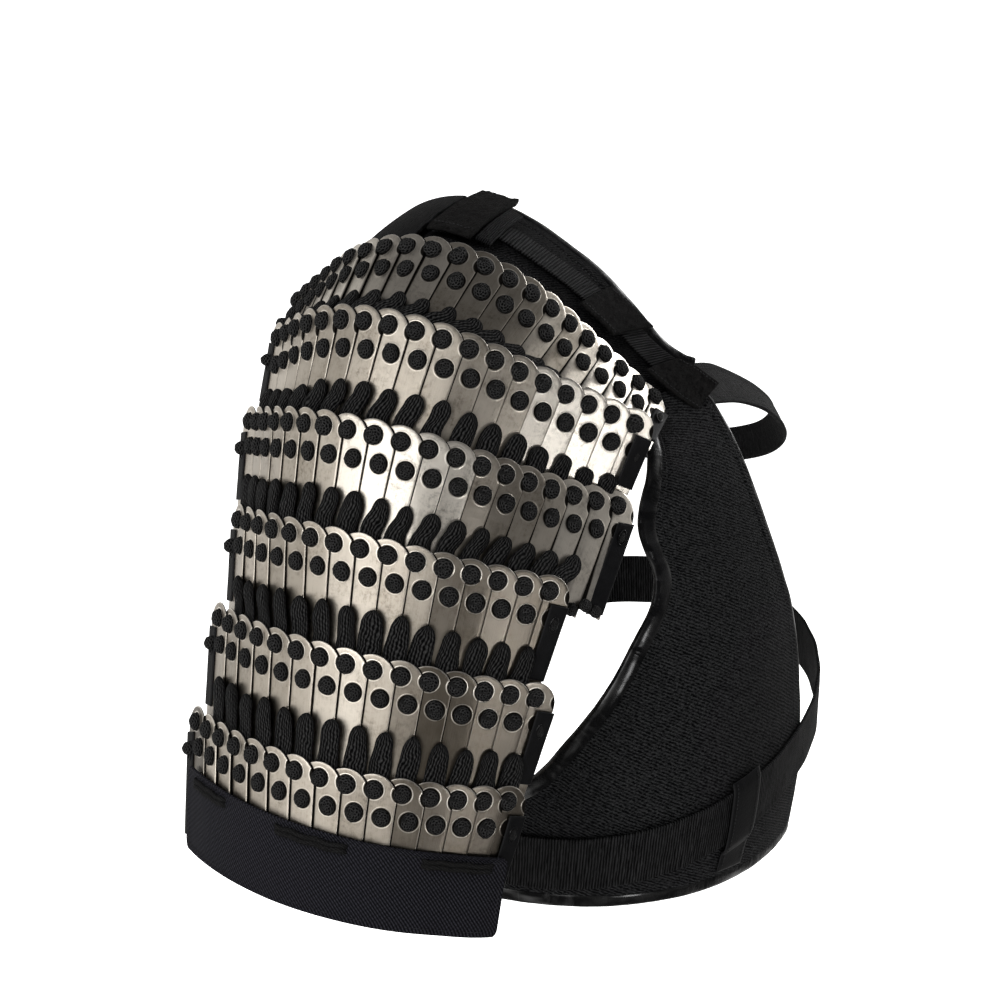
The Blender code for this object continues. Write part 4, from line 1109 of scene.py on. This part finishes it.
def onPadBand(name, node, finish, slot, first, last, shift, width, lowFrom, lowTo, thick,
              fold=0.0, shag=0.0):
    # flat band laid along the webbing's middle line from one plate number to another; sizes are
    # in millimetres, a fold is a thicker roll at its first end, shag is a rough pile
    count = max(12, int((last - first) * 17 / 1.3))
    share = edged(26, 0.02)
    at = first + (last - first) * edged(count, 0.3 / count)
    middleLine = along(webbingLine, at, 1) + shift
    scale = np.linalg.norm(onPad(at, middleLine + 0.05) - onPad(at, middleLine - 0.05), axis=1)
    half = width / 2 * mm * 0.1 / scale
    number = np.repeat(at[:, None], len(share), 1)
    face, out = padGrid(number, middleLine[:, None] + half[:, None] * (2 * share - 1))
    t = (number - first) / (last - first)
    low = (lowFrom + (lowTo - lowFrom) * t) * mm
    size = thick * mm + fold * mm * np.exp(-(t / 0.16) ** 2)
    pile = shag * mm * (ripple(face, 0.0035, 21) + 0.6 * ripple(face, 0.009, 22))
    middle = face + (low + size / 2 + pile)[..., None] * out
    piece = slab(name, middle, out, size, finish)
    enrol(piece, node)
    return middle, out, size


onPadBand("shoulder_webbing_strap", "shoulder_webbing", webbing, "webbing",
          -3.0, 16.6, 0.0, 22.0, 0.9, 0.9, 1.6)
for name, node, values, extra in (
        ("front_loop_patch", "front_patch", (-4.7, -1.5, 0.06, 32.0, 9.9, 3.6, 2.4),
         {"shag": 0.5, "fold": 1.6}),
        ("keeper_loop_patch", "keeper_patch", (0.6, 2.3, 0.0, 40.0, 3.4, 3.4, 2.4), {"shag": 0.5}),
        ("rear_loop_patch", "rear_patch", (7.2, 9.2, -0.12, 84.0, 3.6, 3.6, 3.2),
         {"shag": 0.6, "fold": 2.0})):
    face, out, size = onPadBand(name, node, fuzz, "fastener_cloth", *values, **extra)
    lines = [stitchLine(face[2:-2, k] + (size[2:-2, 3] / 2)[:, None] * out[2:-2, k], out[2:-2, k],
                        2.6 * mm) for k in (3, -4)]
    stitchPiece(name + "_stitches", lines)
for name, node, values in (
        ("rear_flap", "rear_patch_flap", (6.4, 7.1, -0.02, 58.0, 3.4, 3.4, 2.8)),
        ("rear_strap_tail", "rear_strap_end", (9.4, 12.9, 0.03, 76.0, 3.8, 3.8, 2.6))):
    onPadBand(name, node, strapWeave, "fastener_cloth", *values)
print("shoulder pad and its bands made")

# height, arm edge and free edge as angles round the torso
frontTable = (
    (-104, 41, 15.5), (-120, 41, 15.5), (-144, 43, 14), (-172, 48, 12.5), (-205, 46.5, 9.5),
    (-226, 49, 6.5), (-248, 54.5, 3), (-280, 62.5, 0.5), (-313, 72.5, 0), (-345, 83, -1),
    (-362, 92, -3), (-390, 92, -5), (-417, 92, -8),
)
rearTable = (
    (-96, 136, 164), (-120, 138, 166), (-160, 136, 168), (-205, 134, 171), (-248, 127, 175),
    (-290, 116, 179), (-330, 103, 181), (-362, 93.2, 183), (-390, 93.2, 185), (-417, 93.2, 188),
)
panelShape = {"thick": 3.0 * mm, "off": 1.0 * mm, "fade": 60.0, "top": (0.97, 0.06), "over": 1.4 * mm,
              "seam": 7.0, "seamDeep": 0.8 * mm, "fold": 0.9 * mm, "crease": 0.35 * mm}


def bodyNormals(face):
    # normals of a surface round the torso, turned away from its middle line
    out = gridNormals(face)
    if np.sum(out[..., :2] * (face - np.array([torsoX, 0, 0]))[..., :2]) < 0:
        out = -out
    return out


def bodyPanel(side, table, topNumber, seed):
    # cloth panel: arm edge to free edge round the body, top eased onto the end of the pad,
    # with soft folds that fade out towards the arm edge and the free edge
    z = table[0][0] + (table[-1][0] - table[0][0]) * edged(150, 0.002)
    share = edged(64, 0.006)
    arm, free = along(table, z, 1), along(table, z, 2)
    angle = arm[:, None] + (free - arm)[:, None] * share
    height = np.repeat(z[:, None], len(share), 1) * mm
    inner = onBody(angle, height, panelShape["off"])
    across = panelShape["top"][0] + (panelShape["top"][1] - panelShape["top"][0]) * share
    top, topOut = padGrid(np.full(len(share), topNumber), across)
    fade = np.clip(1 - (z[0] - z) / panelShape["fade"], 0, 1)[:, None, None] ** 2
    inner = inner + (top + (panelShape["over"] - panelShape["thick"]) * topOut - inner[0])[None] * fade
    normal = bodyNormals(inner)
    fold = ripple(inner * np.array([1, 1, 0.45]), 0.07, seed) * panelShape["fold"]
    fold = fold + ripple(inner, 0.024, seed + 1) * panelShape["crease"]
    edgeMm = np.minimum(np.minimum(lengths(inner, 1), lengths(inner[:, ::-1], 1)[:, ::-1]), 40.0)
    seamDip = panelShape["seamDeep"] * np.exp(-((edgeMm - panelShape["seam"]) / 1.0) ** 2)
    rise = panelShape["thick"] / 2 + 0.5 * mm + fold * blend(edgeMm / 16) - seamDip
    middle = inner + rise[..., None] * normal
    piece = slab(side + "_vest_panel", middle, normal, panelShape["thick"], cloth)
    enrol(piece, side + "_panel")
    surface = middle + panelShape["thick"] / 2 * normal
    fromSeam = np.abs(edgeMm[60] - panelShape["seam"])
    lines = [stitchLine(surface[3:-3, column], normal[3:-3, column], 2.8 * mm)
             for column in (fromSeam[:32].argmin(), 32 + fromSeam[32:].argmin())]
    stitchPiece(side + "_vest_stitches", lines)
    base = inner + panelShape["thick"] / 2 * normal
    stop = int(len(z) * 0.83)
    edging(side + "_armhole_edging", side + "_armhole_binding", base[6:stop, 0], base[6:stop, 3],
           normal[6:stop, 0], 5.6 * mm, -0.8 * mm, 0.42)
    edging(side + "_piping", side + "_edge_piping", base[6:, -1], base[6:, -4], normal[6:, -1],
           2.0 * mm, 1.0 * mm)
    edging(side + "_hem_edging", side + "_hem_binding", base[-1], base[-4], normal[-1],
           4.4 * mm, 0.6 * mm, 0.45)


bodyPanel("front", frontTable, -3.25, 31)
bodyPanel("rear", rearTable, 17.1, 41)
print("vest panels made")

band = {"middle": -344.0 * mm, "rise": 50.0 * mm, "lowSide": 83.0, "width": 37.0 * mm,
        "thick": 2.0 * mm, "off": 5.9 * mm, "keeperAngle": 26.0, "keeperWidth": 24.0 * mm,
        "keeperBottom": -414.0 * mm, "keeperThick": 1.6 * mm, "keeperReach": 150.0 * mm,
        "keeperFoot": 4.35 * mm, "keeperPast": 6 * mm, "clear": 1.0 * mm}


def bandHeight(angle):
    # the band lies in a tipped plane: a cosine of the angle round the torso
    return band["middle"] - band["rise"] * np.cos(np.radians(angle - band["lowSide"]))


def elasticBand():
    # ribbed elastic in a tipped plane round the chest, with thicker edges and small waves
    rim = np.array([0.42, 0.46, 0.485, 0.5])
    share = np.concatenate([-rim[::-1], np.linspace(-0.36, 0.36, 9), rim])
    angle, w = np.meshgrid(np.arange(0, 360, 1.0), share, indexing="ij")
    wave = 0.35 * mm * np.sin(np.radians(angle) * 31) * np.sin(w * 5)
    height = bandHeight(angle) + w * band["width"]
    face = onBody(angle, height, band["off"] + band["thick"] / 2 + wave)
    out = unit(onBody(angle, height, 0.02) - onBody(angle, height, 0.0))
    size = band["thick"] * (0.85 + 0.3 * blend((np.abs(w) - 0.40) / 0.05))
    piece = slab("elastic_chest_band", face, out, size, elasticWeave, ringU=True)
    enrol(piece, "elastic_band")

    # leather loop over the band, sewn to the panel above and below
    half = band["width"] / 2 + band["clear"]
    far = half + band["keeperPast"]
    rise = np.array([0.0, -far, -half, 0.0, half, far])
    lift = np.array([0.0, 0.5, 1.0, 1.0, 1.0, 0.5])
    spread = math.degrees(band["keeperWidth"] / 2 / band["keeperReach"])
    a = band["keeperAngle"] + spread * (2 * edged(9, 0.05) - 1)
    stations = np.linspace(0, 1, len(rise))
    t = edged(44, 0.008)
    heights = bandHeight(a)[:, None] + np.interp(t, stations, rise)[None]
    low = np.interp(t, [0, 0.2], [1, 0])
    heights = heights * (1 - low) + (band["keeperBottom"] + 0 * heights) * low
    reach = np.interp(t, stations, lift)
    reach = np.convolve(np.pad(reach, 3, mode="edge"), np.ones(7) / 7, "valid")
    foot = band["keeperFoot"]
    off = foot + (band["off"] + band["thick"] + band["clear"] - foot) * reach
    face = onBody(a[:, None] + 0 * heights, heights, off[None] + band["keeperThick"] / 2)
    out = bodyNormals(face)
    keeper = slab("leather_keeper", face, out, band["keeperThick"], leather)
    enrol(keeper, "band_keeper")
    surface = face + band["keeperThick"] / 2 * out
    stitchPiece("keeper_stitches",
                [stitchLine(surface[k, 2:-2], out[k, 2:-2], 2.6 * mm) for k in (2, -3)])


elasticBand()

# angle round the torso and height of the strap's middle line
strapLine = ((10, -98), (-4, -104), (-16, -117), (-34, -143), (-60, -172), (-90, -186),
             (-120, -176), (-145, -152), (-165, -132), (-180, -122), (-190, -118))


def crossStrap():
    # strap from the front of the pad round the wearer's left side to its rear, hemmed edges
    cut = {"width": 25.0 * mm, "thick": 2.0 * mm, "off": 5.2 * mm, "from": 20.0, "to": -200.0,
           "wave": 0.5 * mm}
    t = edged(230, 0.0008)
    angle = cut["from"] + (cut["to"] - cut["from"]) * t
    middle = along(strapLine, angle, 1) * mm
    rim = np.array([0.36, 0.40, 0.44, 0.48, 0.5])
    share = np.concatenate([-rim[::-1], np.linspace(-0.28, 0.28, 5), rim])
    a = np.repeat(angle[:, None], len(share), 1)
    height = middle[:, None] + share * cut["width"]
    face = onBody(a, height, cut["off"] + cut["thick"] / 2)
    out = bodyNormals(face)
    size = cut["thick"] * (0.8 + 0.5 * blend((np.abs(share) - 0.36) / 0.04))[None] + 0 * a
    face = face + (ripple(face, 0.04, 51) * cut["wave"])[..., None] * out
    piece = slab("cross_chest_strap", face, out, size, strapWeave)
    enrol(piece, "cross_strap")
    surface = face + size[..., None] / 2 * out
    lines = [stitchLine(surface[3:-3, k], out[3:-3, k], 2.6 * mm) for k in (4, -5)]
    lines += [stitchLine(surface[k, 2:-2], out[k, 2:-2], 2.4 * mm) for k in (9, 12)]
    stitchPiece("strap_stitches", lines)


crossStrap()
print("bands and straps made")

studio = {"target": (0.015, 0.0, -0.172), "azimuth": -66.0, "elevation": 13.5, "distance": 1.5,
          "lens": 81.83, "film": 36.0, "floor": -0.62, "floorHalf": 90.0,
          "paper": (0.86, 0.86, 0.855), "paperShade": (0.80, 0.80, 0.795),
          "sky": (0.97, 0.97, 0.965, 1.0), "dome": 2.4, "lit": (0.86, 0.85, 0.83),
          "dim": (0.17, 0.17, 0.172), "under": (1.10, 1.09, 1.07), "dimUnder": (0.22, 0.215, 0.21),
          "dimAbove": (-28.0, 0.57, 0.90), "dimBelow": (-15.0, 0.30, 0.80)}
# name, azimuth, elevation, distance, width, height, power
softboxes = (("keyLamp", -100.0, 52.0, 1.9, 0.5, 0.5, 42.0), ("leftBox", -101.0, 7.0, 1.9, 1.8, 0.6, 10.0),
             ("frontBox", -38.0, -13.5, 1.7, 0.28, 0.40, 4.3), ("rightBox", 64.5, 21.0, 1.8, 1.0, 0.8, 21.0))


def direction(azimuth, elevation):
    # unit vector: azimuth 0 is the wearer's front, positive towards the wearer's left
    a, e = math.radians(azimuth), math.radians(elevation)
    return np.array([math.sin(a) * math.cos(e), -math.cos(a) * math.cos(e), math.sin(e)])


def pointAt(thing, azimuth, elevation, distance, target):
    # stands the thing at that direction from the target, looking at it
    back = direction(azimuth, elevation)
    side = np.array([math.cos(math.radians(azimuth)), math.sin(math.radians(azimuth)), 0.0])
    up = np.cross(back, side)
    place = np.array(target) + distance * back
    rows = [[side[k], up[k], back[k], place[k]] for k in range(3)]
    thing.matrix_world = Matrix(rows + [[0, 0, 0, 1]])


def softbox(name, azimuth, elevation, distance, width, height, power):
    # rectangular light of a given size and power in watts, facing the guard
    lamp = bpy.data.lights.new(name, "AREA")
    lamp.shape = "RECTANGLE"
    lamp.size, lamp.size_y, lamp.energy = width, height, power
    thing = bpy.data.objects.new(name, lamp)
    thing.visible_camera = False
    bpy.context.collection.objects.link(thing)
    pointAt(thing, azimuth, elevation, distance, studio["target"])
    return thing


def room():
    # a pale floor under a pale sky; what the steel mirrors is a dome that only reflections see,
    # bright to the sides and from below, dim overhead and towards the front right
    size = studio["floorHalf"]
    corners = np.array([[x * size, y * size, studio["floor"]]
                        for x, y in ((-1, -1), (1, -1), (1, 1), (-1, 1))])
    paper = Finish("studioPaper", Roughness=0.9, Specular_IOR_Level=0.05, Emission_Strength=0.75)
    shade = paper.noise(paper.place(), 3.0, 2.0)
    paper.feed(Base_Color=paper.mix(shade * 0.2, studio["paper"], studio["paperShade"]),
               Emission_Color=(1.0, 1.0, 1.0))
    ground = makePiece("studio_floor", corners, [[0, 1, 2, 3]], paper.material, np.zeros((4, 2)),
                       flat=True)
    ground.visible_glossy = False
    world = bpy.data.worlds.new("studio")
    bpy.context.scene.world = world
    world.use_nodes = True
    sky = Graph(world.node_tree)
    sky.plug(sky.nodes["Background"].inputs["Color"], studio["sky"])
    mirror = Finish("mirroredRoom", Roughness=1.0, Specular_IOR_Level=0.0, Emission_Strength=1.0)
    x, y, z = mirror.parts(mirror.add("ShaderNodeVectorMath", {"operation": "SUBTRACT"},
                                      {0: mirror.place(), 1: studio["target"]}))
    flat = (x * x + y * y + 0.0001) ** 0.5

    def dimness(centre, low, high):
        # 1 within some degrees of the dim side, 0 further round
        turn = math.radians(centre)
        return ((x * math.sin(turn) - y * math.cos(turn)) / flat).step(low, high)

    height = z / studio["dome"]
    above = mirror.mix(dimness(*studio["dimAbove"]), studio["lit"], studio["dim"])
    above = mirror.mix(height.step(0.25, 0.75), above, studio["dim"])
    below = mirror.mix(dimness(*studio["dimBelow"]), studio["under"], studio["dimUnder"])
    mirror.feed(Base_Color=(0.0, 0.0, 0.0),
                Emission_Color=mirror.mix(height.step(-0.08, 0.02), below, above))
    points, uv, quads = ball(25, 48)
    dome = makePiece("mirrored_room", points * studio["dome"] + np.array(studio["target"]), quads,
                     mirror.material, uv)
    mirror.material.cycles.emission_sampling = "NONE"
    dome.visible_camera = dome.visible_diffuse = dome.visible_shadow = False
    dome.visible_transmission = dome.visible_volume_scatter = False
    lamps = [softbox(*values) for values in softboxes]
    lamps[0].visible_glossy = False


room()
camera = bpy.data.cameras.new("camera")
camera.lens = studio["lens"]
camera.sensor_width = studio["film"]
cameraThing = bpy.data.objects.new("camera", camera)
bpy.context.collection.objects.link(cameraThing)
pointAt(cameraThing, studio["azimuth"], studio["elevation"], studio["distance"], studio["target"])
bpy.context.scene.camera = cameraThing
bpy.context.scene.view_settings.view_transform = "Standard"

print("scene ready")
